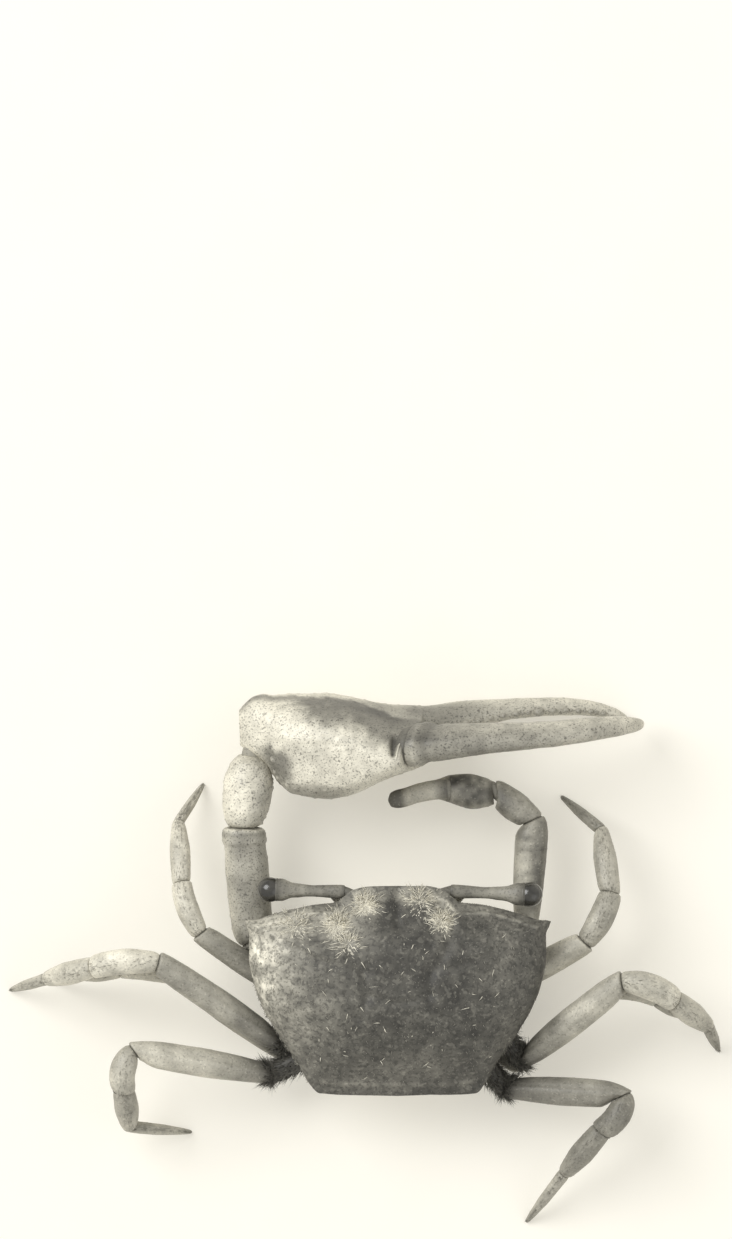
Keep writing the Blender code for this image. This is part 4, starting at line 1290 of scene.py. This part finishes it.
def hand_relief(grid, l, high, out):
    """Grains that thin out towards the finger, a rough wrist patch, a cave inside and a knuckle."""
    fade = np.clip((18.0 - l) / 9.0, 0.12, 1.0)
    height = 0.04 * noise(grid, 1.8, 51) + 0.02 * noise(grid, 0.6, 54)
    height += (0.02 + 0.05 * fade) * grains(grid, 0.55, 52, share=0.8)
    height += wrist_patch(l, high, out) * (0.2 * grains(grid, 0.7, 55, share=0.9) - 0.15)
    height -= 0.5 * ramped(-out, 0.6, 2.4) * bell(l, 4.9, 1.5) * bell(high, 6.5, 1.7)
    ridge, pit = knuckle(l, high, out)
    height += 0.14 * ridge - 0.35 * pit
    return height + 0.1 * bell(out, 0.6, 0.35) * ramped(high, 8.0, 10.0) * ramped(-l, -13.0, -4.0)


hand_l = np.broadcast_to(hand_stations[:, None], hand_rings.shape[:2])
hand_high, hand_out = claw_places(hand_rings, CLAW_AXES)
hand_heights = hand_relief(hand_rings, hand_l, hand_high, hand_out)
print("relief of the hand from", hand_heights.min().round(2), "to", hand_heights.max().round(2))

# %% [markdown]
# The tone starts pale all over, and each line below darkens it where one marking lies: the upper
# outer band, the lower front, the inner face's hollows, the wrist's rough patch and the fingers.
# Painted shade darkens the outer face low down towards the fingers, the top's inner edge, the
# knuckle's pit and part of the fingers, and a painted highlight keeps the band pale near the wrist.

# %% Markings of the hand
def hand_tone(grid, l, high, out):
    """Pale, with a dark upper half outside, a dark wrist hollow inside, grey fingers, painted shade
    and a painted highlight.
    """
    ragged = 0.5 * noise(grid, 1.0, 56) + 0.35 * noise(grid, 0.4, 57)
    tone = 0.76 * (1.0 + 0.12 * noise(grid, 1.6, 58) + 0.12 * noise(grid, 0.5, 59))
    # Its fade towards the wrist keeps the band's near end pale: a painted highlight on the claw's
    # lit end
    upper = ramped(out + 0.3 * l + ragged, 2.9, 5.0) * ramped(l + ragged, 2.5, 7.0)
    wrist = ramped(out + ragged, 1.2, 2.6) * ramped(-high, -7.8, -5.8)
    bound = 5.2 + 1.8 * ramped(l, 9.5, 13.5)
    dark = np.maximum(upper, 0.8 * wrist) * ramped(high + ragged - bound, -0.7, 0.7)
    dark *= 1.0 - ramped(l, 13.0, 16.0)
    tone *= (1.0 - 0.68 * dark) * (1.0 - 0.5 * dark * bell(high, 7.2, 2.2))
    # Painted shade: the outer face is darkened low down towards the fingers, where it is steep and
    # gets little light
    tone *= 1.0 - 0.6 * ramped(l, 9.0, 12.0) * ramped(out, 0.5, 1.6) * between(high, 3.5, 8.0, 1.0)
    inside = ramped(-out + 0.5 * ragged, 0.6, 2.0)
    uneven = 1.0 + 0.6 * ragged
    tone *= 1.0 - 0.84 * inside * between(l, 2.9, 6.6, 0.5) * between(high + ragged, 4.4, 8.6, 0.5)
    tone *= 1.0 - 0.8 * inside * between(l + ragged, 1.0, 8.2, 1.4) * between(high, -1.0, 3.9, 0.7)
    tone *= 1.0 - 0.6 * inside * between(l + ragged, 8.2, 13.2, 0.8) * bell(high, 5.9, 1.1) * uneven
    tone *= 1.0 - 0.55 * inside * bell(l, 13.6, 0.8) * between(high, 6.2, 9.5, 0.8)
    top = ramped(high, 7.6, 9.2)
    rough = 1.0 - 0.75 * grains(grid, 0.7, 55, share=0.9)
    tone *= 1.0 - 0.72 * wrist_patch(l, high, out + ragged) * rough
    # Painted shade: a dark rim along the top's inner edge, where the palm turns away from the light
    tone *= 1.0 - 0.45 * top * ramped(-out + 0.5 * ragged, 3.2, 4.1) * (1.0 - ramped(l, 8.0, 10.0))
    ridge, pit = knuckle(l, high, out)
    # The fingers' darkening is partly their own grey and partly painted shade on their steep outer
    # faces
    fingers = 0.62 - 0.42 * ramped(l, 15.5, 25.0)
    front = ramped(high, 1.0, 3.6) * ramped(l, 12.5, 15.0) * ramped(out, -1.5, 0.4)
    tone *= (1.0 - fingers * front) * (1.0 - 0.2 * ramped(l, 14.0, 18.0))
    # Painted shade: the knuckle's pit is darkened
    return tone * (1.0 - 0.8 * pit) + 0.3 * ridge


hand_shades = hand_tone(hand_rings, hand_l, hand_high, hand_out)
print("mean tone of the hand:", hand_shades.mean().round(3))

# %% [markdown]
# Blunt teeth like molars stand in a row on both biting edges, with fine ones between them and one
# large tooth on the fixed finger. They are sunk into the finger and share its mesh.

# %% Teeth on the biting edges
TEETH = 13
FINE_TEETH = 26
TOOTH_HEIGHTS = (0.3, 0.44)
TOOTH_SUNK = 0.03
FIXED_TEETH = (18.2, 31.0)
MOVABLE_TEETH = (0.14, 0.85)
MAIN_TOOTH = 25.5
MAIN_TOOTH_HEIGHT = 0.6


def tooth(root, way, along, height):
    """A blunt round cone: rings narrow as the square root of 1 - rise."""
    across = np.cross(way, along)
    rise = np.array((-1.2, -0.3, 0.1, 0.4, 0.65, 0.85, 0.96, 1.0))
    size = height * 0.8 * np.sqrt(np.clip(1.03 - np.maximum(rise, 0.0) ** 2, 0.03, 1.0))
    centres = root + rise[:, None] * height * way
    across, along = (np.broadcast_to(axis, centres.shape) for axis in (across, along))
    return sections(centres, across, along, size * 0.85, size, 14, 2.0)


def fixed_teeth():
    """A row of molars on the fixed finger, and fine ones between them."""
    at, length, back, outer = CLAW_AXES
    random = np.random.default_rng(7)
    places = [*np.linspace(*FIXED_TEETH, TEETH), MAIN_TOOTH]
    sizes = [*random.uniform(*TOOTH_HEIGHTS, TEETH), MAIN_TOOTH_HEIGHT]
    places += [*random.uniform(17.4, 30.5, FINE_TEETH)]
    sizes += [*random.uniform(0.16, 0.26, FINE_TEETH)]
    teeth = []
    for l, size in zip(places, sizes):
        edge = (FINGER_TOP(l) - TOOTH_SUNK) * back - HAND_INWARDS(l) * outer
        teeth.append(tooth(at + l * length + edge, back, length, size))
    return teeth


fixed = fixed_teeth()
skin("claw_l_hand", [relief(hand_rings, hand_heights), *fixed], CLAW_FINISH,
     [hand_shades] + [0.33] * len(fixed))
print("teeth on the fixed finger:", len(fixed))

# %% [markdown]
# The movable finger's rings stand square to its own curved axis. Its root has a raised collar with
# a groove behind it, and soft skin leads from the collar back into the palm.

# %% The great claw's movable finger
def great_finger():
    """A curved finger with a raised collar at its root and teeth along its lower edge."""
    at, length, back, outer = CLAW_AXES
    marks = (0.0, 0.15, 0.33, 0.51, 0.68, 0.83, 0.93, 1.0)
    along = curve(marks, (FINGER_ROOT + SKIN_GAP, 18.9, 22.7, 26.5, 29.8, 32.3, 33.7, 34.0))
    height = curve(marks, (9.8, 10.0, 9.95, 9.2, 8.0, 6.3, 4.25, 2.2))
    depth = curve(marks, (4.5, 4.45, 4.1, 3.5, 2.9, 2.3, 1.5, 0.3))
    thick = curve(marks, (3.5, 2.75, 2.15, 2.0, 1.85, 1.6, 1.05, 0.35))
    lean = curve((0.0, 0.15, 0.33, 0.51, 0.68, 0.83, 1.0), (0.6, 0.35, 0.2, 0.25, 0.3, 0.55, 1.4))
    rows = 250
    grid = finger_grid(CLAW_AXES, along, height, depth, thick, lean, rows, 160)
    share = np.linspace(0.0, 1.0, rows)
    grid = slanted(grid, CLAW_AXES, JOINT_SLANT * np.maximum(0.0, 1.0 - share / 0.3))
    root = root_membrane(grid, 0.9)
    out = claw_places(grid, CLAW_AXES)[1]
    s = share[:, None]
    heights = 0.03 * noise(grid, 1.2, 61) + 0.03 * grains(grid, 0.45, 62) * ramped(-s, -0.7, 0.0)
    heights += 0.14 * bell(s, 0.03, 0.015) - 0.1 * bell(s, 0.07, 0.02)
    heights += 0.05 * bell(out, 0.9, 0.3) * ramped(s, 0.08, 0.2)
    tone = 1.0 + 0.2 * noise(grid, 1.4, 63) + 0.2 * noise(grid, 0.4, 64)
    tone *= 0.25 + 0.3 * ramped(s, 0.0, 1.0)
    tone *= 1.0 - 0.5 * bell(s, 0.03, 0.1) * ramped(out, -0.2, 0.6)
    tone *= 1.0 + 0.6 * bell(s, 0.02, 0.06) * ramped(-out, -0.1, 0.6)
    tone *= 1.0 + 0.4 * bell(s, 0.03, 0.012) - 0.3 * bell(s, 0.07, 0.015)
    tone *= 1.0 + 0.25 * bell(out, 0.95, 0.25)
    random = np.random.default_rng(9)
    places = [*np.linspace(*MOVABLE_TEETH, TEETH), *random.uniform(0.1, 0.84, FINE_TEETH)]
    sizes = [*random.uniform(*TOOTH_HEIGHTS, TEETH), *random.uniform(0.14, 0.24, FINE_TEETH)]
    teeth = []
    for t, size in zip(places, sizes):
        way = unit((along(t + 0.01) - along(t - 0.01), height(t + 0.01) - height(t - 0.01)))
        lift = way[0] * back - way[1] * length
        spot = at + along(t) * length + height(t) * back - lean(t) * outer
        spot = spot - (depth(t) / 2.0 - TOOTH_SUNK) * lift
        teeth.append(tooth(spot, -lift, np.cross(outer, lift), size))
    skin("claw_l_finger", [relief(grid, heights), *teeth], CLAW_FINISH,
         [tone] + [0.45] * len(teeth))
    skin("claw_l_finger_joint", root, JOINT_FINISH, 0.12, replaced=())


great_finger()
print("movable finger made")

# %% [markdown]
# ## The small claw
# The right claw feeds the crab. Its hand is short, its fingers are spoon-shaped and closed, and
# its arm is as slim as a leg.

# %% The small claw's arm
SMALL_CLAW = claw_frame(np.array((8.15, -7.85, 3.4)), 0.0, math.radians(-3.5))


def small_arm():
    """Base, merus and carpus of the right arm."""
    first, facing = socket(5.0, 4.1, 2.1)
    joints = (first, (10.9, 3.6, 4.4), (11.5, -5.5, 5.0), (8.45, -7.87, 4.9))
    spans = limb(joints, facing, SMALL_CLAW[1])
    widths = {
        "base": curve((0.0, 0.5, 1.0), (2.0, 2.2, 2.2)),
        "merus": curve((0.0, 0.4, 0.85, 1.0), (2.1, 2.6, 2.8, 2.4)),
        "carpus": curve((0.0, 0.5, 1.0), (2.0, 2.55, 2.15)),
    }
    tones = {"base": 0.12, "merus": 0.36, "carpus": 0.21}
    grids = []
    for span, (part, wide) in zip(spans, widths.items()):
        bend = 0.2 * UP if part == "carpus" else (0.0, 0.0, 0.0)
        grid = tube(*span, wide, bend)
        grid = relief(grid, 0.015 * noise(grid, 0.9, 71) + 0.025 * grains(grid, 0.35, 72))
        tone = arm_tone(grid, tones[part], 73, 0.7)
        if part == "merus":
            tone *= 1.0 - 0.4 * ramped(-np.linspace(0.0, 1.0, len(grid)), -0.3, 0.0)[:, None]
            # Painted shade: the merus is darker on its outer side, away from the light
            tone *= 1.0 - 0.45 * ramped(grid[..., 0], 11.0, 12.2)
        skin(f"claw_r_{part}", grid, LEG_FINISH, tone, -1)
        grids.append(grid)
    return grids


small_grids = small_arm()
print("small arm made of", len(small_grids), "pieces")

# %% [markdown]
# The small hand is a short palm with two spoon-shaped fingers, which are dark at their tips. The
# claw is bent a little outwards, so its inward shift is a curve of the length that both fingers
# share.

# %% The small claw's hand and finger
SMALL_LENGTH = 8.7
SMALL_PALM_END = 3.6
SMALL_FINGER_ROOT = 3.8


def small_hand():
    """Palm and fixed finger in one piece, then the movable finger, whose grid is returned."""
    palm_top = curve((0.0, 0.5, 1.4, 2.4, 3.6), (2.1, 2.6, 2.95, 3.0, 2.8))
    finger_top = curve((SMALL_FINGER_ROOT, 5.0, 6.5, 8.0, SMALL_LENGTH),
                       (1.5, 1.35, 1.15, 0.95, 0.8))
    bottom = curve((0.0, 0.5, 1.4, 3.0, 6.0, 8.0, SMALL_LENGTH),
                   (0.9, 0.4, 0.1, 0.0, 0.1, 0.3, 0.5))
    thick = curve((0.0, 0.6, 2.0, 3.6, 5.0, 7.5, 8.1, 8.4, 8.6, 8.7),
                  (2.0, 2.5, 3.0, 2.4, 1.65, 1.6, 1.4, 1.15, 0.8, 0.4))
    level = curve((0.0, 1.4, 2.2, 3.0, 3.8, 4.6, 6.2, 7.8, 8.9),
                  (0.0, -0.15, -0.25, -0.38, -0.52, -0.55, -0.38, 0.0, 0.1))
    l = np.linspace(0.0, SMALL_LENGTH, 130)
    step = ramped(l, SMALL_PALM_END, SMALL_FINGER_ROOT)
    top = palm_top(np.minimum(l, SMALL_PALM_END)) * (1.0 - step)
    top += finger_top(np.maximum(l, SMALL_FINGER_ROOT)) * step
    hand = hand_grid(SMALL_CLAW, l, top, bottom, thick, level, 72, 2.2)
    hand = relief(hand, 0.02 * grains(hand, 0.35, 74) + 0.02 * noise(hand, 0.8, 75))
    dark_tip = 1.0 - 0.75 * ramped(l, 7.0, 7.8)[:, None]
    tone = arm_tone(hand, 0.23, 76, 1.0) + 0.3 * ramped(l, 3.4, 5.2)[:, None]
    skin("claw_r_hand", hand, LEG_FINISH, tone * dark_tip, -1)
    marks = (0.0, 0.4, 0.8, 0.93, 1.0)
    along = curve(marks, (SMALL_FINGER_ROOT + SKIN_GAP, 6.0, 8.0, SMALL_LENGTH, 8.9))
    finger = finger_grid(SMALL_CLAW, along,
                         curve(marks, (2.3, 2.15, 1.75, 1.5, 1.4)),
                         curve(marks, (1.1, 1.0, 0.7, 0.5, 0.3)),
                         curve(marks, (1.7, 1.65, 1.6, 1.2, 0.4)), lambda s: level(along(s)),
                         110, 64)
    share = np.linspace(0.0, 1.0, len(finger))[:, None]
    tone = arm_tone(finger, 0.16, 77, 0.4) + 0.3 * ramped(share, 0.0, 0.3)
    skin("claw_r_finger", finger, LEG_FINISH, tone * (1.0 - 0.75 * ramped(share, 0.62, 0.8)), -1)
    return finger


def small_joints(grids, finger):
    """Soft skin at the arm's root, between its pieces, at the wrist and at the finger's root."""
    pieces = [root_membrane(grids[0])] + [membrane(a, b) for a, b in zip(grids, grids[1:])]
    pieces += [root_membrane(grids[-1][::-1], 0.5), root_membrane(finger, 0.4)]
    skin("claw_r_joints", pieces, JOINT_FINISH, [0.22] * len(pieces), -1, replaced=())


small_joints(small_grids, small_hand())
print("small claw length:", SMALL_LENGTH, "mm")

# %% [markdown]
# ## The walking legs
# All eight legs share one set of proportions. Each is given by its bulk, its socket and hip, and
# the pose of its merus, carpus, propodus and dactyl: how far it reaches in plan, which way it
# heads, and how high its far end stands. The third leg hides the fourth from above. The long
# segments have a crest above and below, the last ones are fluted, and the joints are darker.

# %% The legs' poses and proportions
LEGS = {
    "leg_2_l": (2.1, (7.3, 3.9), (9.0, 9.4, 3.8),
                ((9.4, 34.5, 6.9), (4.5, 69, 6.3), (5.2, 87, 3.6), (3.8, 123, 0.0))),
    "leg_3_l": (2.4, (10.7, 4.2), (9.9, 13.6, 4.5),
                ((12.6, 34, 8.6), (5.5, -4, 7.9), (4.2, -15, 4.0), (3.3, -18, 0.0))),
    "leg_4_l": (1.8, (12.3, 2.9), (9.6, 14.6, 2.3),
                ((11.4, 36, 5.4), (4.7, 8, 4.8), (3.6, -8, 2.5), (2.3, -15, 0.0))),
    "leg_5_l": (2.45, (13.9, 4.2), (10.8, 16.1, 4.2),
                ((11.8, 10, 8.3), (3.4, -76, 7.6), (3.3, -98, 3.6), (5.2, -174, 0.0))),
    "leg_2_r": (2.4, (7.3, 3.9), (8.4, 9.0, 3.8),
                ((8.6, 29, 6.6), (4.6, 62, 6.2), (5.5, 98, 3.8), (4.3, 140, 0.0))),
    "leg_3_r": (2.5, (10.7, 4.2), (10.6, 15.0, 4.5),
                ((10.9, 39, 8.8), (4.7, -20, 8.3), (3.7, -38, 4.6), (2.4, -65, 0.0))),
    "leg_4_r": (1.8, (12.3, 2.9), (10.0, 15.6, 2.3),
                ((10.5, 38, 5.4), (3.7, -8, 4.8), (3.0, -29, 2.5), (1.9, -39, 0.0))),
    "leg_5_r": (2.45, (13.9, 4.0), (9.2, 17.3, 4.0),
                ((10.2, -3, 6.6), (3.6, -124, 6.2), (4.9, -130, 3.4), (5.3, -127, 0.0))),
}
# How much light the merus, carpus, propodus and dactyl of each leg give back
LEG_TONES = {
    "leg_2_l": (0.34, 0.6, 0.55, 0.48), "leg_3_l": (0.38, 0.68, 0.58, 0.42),
    "leg_4_l": (0.36, 0.55, 0.5, 0.36), "leg_5_l": (0.52, 0.44, 0.44, 0.38),
    "leg_2_r": (0.58, 0.38, 0.42, 0.26), "leg_3_r": (0.45, 0.55, 0.44, 0.26),
    "leg_4_r": (0.4, 0.48, 0.38, 0.22), "leg_5_r": (0.27, 0.24, 0.28, 0.36),
}
LEG_WIDTHS = {
    "base": (0.72, 0.76, 0.66),
    "merus": (0.72, 1.0, 0.9),
    "carpus": (0.72, 0.9, 0.84),
    "propodus": (0.74, 0.82, 0.52),
    "dactyl": (0.44, 0.36, 0.12),
}
LEG_ARCH = {"base": 0.0, "merus": 0.25, "carpus": 0.35, "propodus": 0.3, "dactyl": 0.35}
CREST = {"base": 0.0, "merus": 0.05, "carpus": 0.03, "propodus": 0.03, "dactyl": 0.0}
FLUTES = {"base": 0.0, "merus": 0.0, "carpus": 0.012, "propodus": 0.02, "dactyl": 0.03}
BASE_TONE = 0.05
CARPUS_SWING = 0.5
JOINED_BASE = "leg_4"
TIP_HEIGHT = 0.1
print("legs:", len(LEGS))

# %% Joints and tubes of a leg
def leg_joints(bulk, root, hip, steps):
    """The leg's six joints, from its socket to its tip on the floor."""
    first, facing = socket(*root, LEG_WIDTHS["base"][0] * bulk)
    joints = [first, np.array(hip, float)]
    for reach, heading, height in steps:
        turn = math.radians(heading)
        x = joints[-1][0] + reach * math.cos(turn)
        y = joints[-1][1] - reach * math.sin(turn)
        joints.append(np.array((x, y, max(height, TIP_HEIGHT))))
    return joints, facing


def leg_tubes(bulk, joints, facing):
    """A grid for each segment; widths narrow by the root of the cosine of half the turn."""
    spans = limb(joints, facing)
    ways = [facing] + [unit(span[1] - span[0]) for span in spans]
    turns = [math.sqrt(unit(a + b) @ b) for a, b in zip(ways, ways[1:])] + [1.0]
    tubes = {}
    for i, part in enumerate(LEG_WIDTHS):
        start, middle, end = (share * bulk for share in LEG_WIDTHS[part])
        wide = curve((0.0, 0.2, 0.5, 0.8, 1.0),
                     (start * turns[i], (start + middle) / 2.0, middle,
                      (middle + end) / 2.0, max(end * turns[i + 1], 0.3)))
        swing = ways[i] - (ways[i] @ ways[i + 1]) * ways[i + 1]
        bend = LEG_ARCH[part] * UP + (CARPUS_SWING * swing if part == "carpus" else 0.0)
        tubes[part] = tube(*spans[i], wide, bend, rows=84, sides=60)
    return tubes


bulk, root, hip, steps = LEGS["leg_3_l"]
print("longest leg ends at", leg_joints(bulk, root, hip, steps)[0][-1].round(1))

# %% [markdown]
# Crests and flutes follow the angle round the segment, and collars and dark bands follow the share
# of its length. Mud-brown bristles crowd the root of each leg, and short stiff ones stand along
# the edges of its last segments.

# %% Relief and tone of a leg
def leg_relief(grid, part, bulk):
    """A crest above and below, flutes along the thin segments, grains and a distal collar."""
    t = np.linspace(0.0, 1.0, len(grid))[:, None]
    angle = around(grid.shape[1])[None, :]
    middle = np.sin(math.pi * t) ** 0.5
    crest = bell(np.abs(np.sin(angle)), 1.0, 0.03)
    height = CREST[part] * bulk * crest * middle
    height = height + FLUTES[part] * np.cos(6.0 * angle) * middle
    height += 0.015 * noise(grid, 0.9, 81) + 0.022 * grains(grid, 0.32, 82, share=0.8)
    return height + 0.05 * bell(t, 0.93, 0.03) * (part in ("merus", "carpus"))


def leg_tone(grid, part, base):
    """Mottled, darker at both joints, and on the merus darker towards the body."""
    t = np.linspace(0.0, 1.0, len(grid))[:, None]
    tone = arm_tone(grid, base, 83)
    tone *= 1.0 - 0.3 * bell(t, 0.0, 0.05) - 0.25 * bell(t, 1.0, 0.045)
    if part == "merus":
        tone *= 0.15 + 0.85 * ramped(t, 0.0, 0.6)
    if part == "dactyl":
        tone *= 1.0 - 0.4 * ramped(t, 0.6, 1.0)
    return tone


print("segments with flutes:", sum(depth > 0.0 for depth in FLUTES.values()))

# %% Bristles of a leg, and the whole leg
ROOT_BRISTLES = {"base": 1000, "merus": 600}
EDGE_BRISTLES = 110


def leg_coats(grids, random):
    """Dense dark bristles round the leg's root, and short ones along its last segments' edges."""
    root, edges = [], []
    for tile, (part, grid) in enumerate(grids.items()):
        rows, sides = grid.shape[:2]
        place = (tile, len(grids))
        if part in ROOT_BRISTLES:
            count = ROOT_BRISTLES[part]
            along = random.uniform(0.0, 1.0, count) * 0.95
            if part == "merus":
                along = random.power(0.6, count) * 0.16 if "base" in grids else along * 0.2
            spots = random.integers(0, sides, count)
            root.append(coat_on(grid, (along * (rows - 1)).astype(int), spots, 1.0, (0.25, 0.8),
                                random, curl=0.5, tile=place))
        else:
            along = random.uniform(0.08, 0.9, EDGE_BRISTLES)
            edge = random.choice((0.25, 0.75), EDGE_BRISTLES)
            edge = edge + random.normal(0.0, 0.04, EDGE_BRISTLES)
            spots = (edge * sides).astype(int) % sides
            edges.append(coat_on(grid, (along * (rows - 1)).astype(int), spots, 1.6, (0.15, 0.35),
                                 random, tile=place))
    return root, edges


def walking_leg(name, bulk, root, hip, steps):
    """All segments of one leg, its joints and its bristles."""
    side = 1 if name.endswith("l") else -1
    joints, facing = leg_joints(bulk, root, hip, steps)
    tubes = leg_tubes(bulk, joints, facing)
    if name.startswith(JOINED_BASE):
        tubes["merus"] = np.concatenate((tubes.pop("base")[:-6], tubes["merus"][6:]))
    tones = dict(zip(LEG_WIDTHS, (BASE_TONE, *LEG_TONES[name])))
    for part, grid in tubes.items():
        grid = relief(grid, leg_relief(grid, part, bulk))
        grid[..., 2] = np.maximum(grid[..., 2], 0.0)
        tubes[part] = grid
        skin(f"{name}_{part}", grid, LEG_FINISH, leg_tone(grid, part, tones[part]), side)
    joint_skin(f"{name}_joints", list(tubes.values()), 0.2, side)
    random = np.random.default_rng(sum(map(ord, name)))
    root_coats, edge_coats = leg_coats(tubes, random)
    bristles(f"{name}_root_bristles", root_coats, 0.06, DARK_HAIR, side)
    bristles(f"{name}_bristles", edge_coats, 0.045, LEG_HAIR, side)


for label, values in LEGS.items():
    walking_leg(label, *values)
print("walking legs:", len(LEGS))

# %% [markdown]
# ## Eyes and feelers
# The eyestalks fold outwards into the hollows of the carapace's front, and each carries a dark
# glossy cornea. The feelers are short and run outwards beneath the stalks.

# %% Eyes and feelers
# Each eye has its root's and its end's place towards the rear, and how far out it reaches
EYES = {"l": (0.55, 0.34, 10.8), "r": (0.5, 0.75, 11.2)}
STALK_ROOT = 4.8
STALK_Z = 9.15
CORNEA = np.array((1.12, 1.05, 1.05))
FEELER = ((5.0, 1.35, 7.9), (5.9, 0.6, 7.9), (7.6, 0.4, 7.8), (9.4, 0.45, 7.6))


def eye(key, side):
    """A stalk that widens into a cup round the cornea, and an ellipsoid cornea in the cup."""
    root_y, end_y, reach = EYES[key]
    start = np.array((STALK_ROOT - 0.3, root_y, STALK_Z))
    end = np.array((reach - 0.35 * CORNEA[0], end_y, STALK_Z + 0.05))
    way = unit(end - start)
    wide = curve((0.0, 0.12, 0.45, 0.75, 0.9, 1.0), (1.2, 1.15, 0.98, 1.3, 1.9, 1.95))
    grid = tube(start, end, way, way, wide, rows=120, sides=72, pinch=0.9)
    t = np.linspace(0.0, 1.0, len(grid))[:, None]
    height = 0.03 * noise(grid, 0.6, 91) + 0.012 * grains(grid, 0.3, 92)
    grid = relief(grid, height + 0.04 * bell(t, 0.9, 0.02))
    tone = arm_tone(grid, 0.27, 93, 0.4)
    tone *= 1.0 - 0.6 * ramped(t, 0.72, 0.9) - 0.45 * ramped(0.2 - t, 0.0, 0.12)
    skin(f"eyestalk_{key}", grid, STALK_FINISH, tone, side)
    neck = root_membrane(grid, 1.4)
    skin(f"eyestalk_{key}_neck", neck, JOINT_FINISH, 0.14, side, replaced=())
    polar = np.linspace(0.02, math.pi - 0.02, 56)[:, None]
    angle = around(72)[None, :]
    ball = np.stack(np.broadcast_arrays(-np.cos(polar), np.sin(polar) * np.cos(angle),
                                        np.sin(polar) * np.sin(angle)), axis=-1)
    skin(f"eye_{key}", np.array((reach, end_y, STALK_Z)) + ball * CORNEA, CORNEA_FINISH, None, side)


def feeler(name, side):
    """A tapering, ringed thread along a smooth line."""
    t = np.linspace(0.0, 1.0, 120)
    line = np.stack([curve((0.0, 0.3, 0.65, 1.0), row)(t) for row in zip(*FEELER)], axis=-1)
    way = unit(np.gradient(line, axis=0))
    across = unit(np.cross(UP, way))
    size = (0.32 - 0.14 * t) * (1.0 + 0.06 * np.sin(t * 150.0))
    grid = sections(line, across, np.cross(way, across), size, size, 20, 2.0)
    skin(name, grid, STALK_FINISH, arm_tone(grid, 0.4, 95), side)


for label, sign in (("l", 1), ("r", -1)):
    eye(label, sign)
    feeler(f"antenna_{label}", sign)
print("eyes and feelers made")
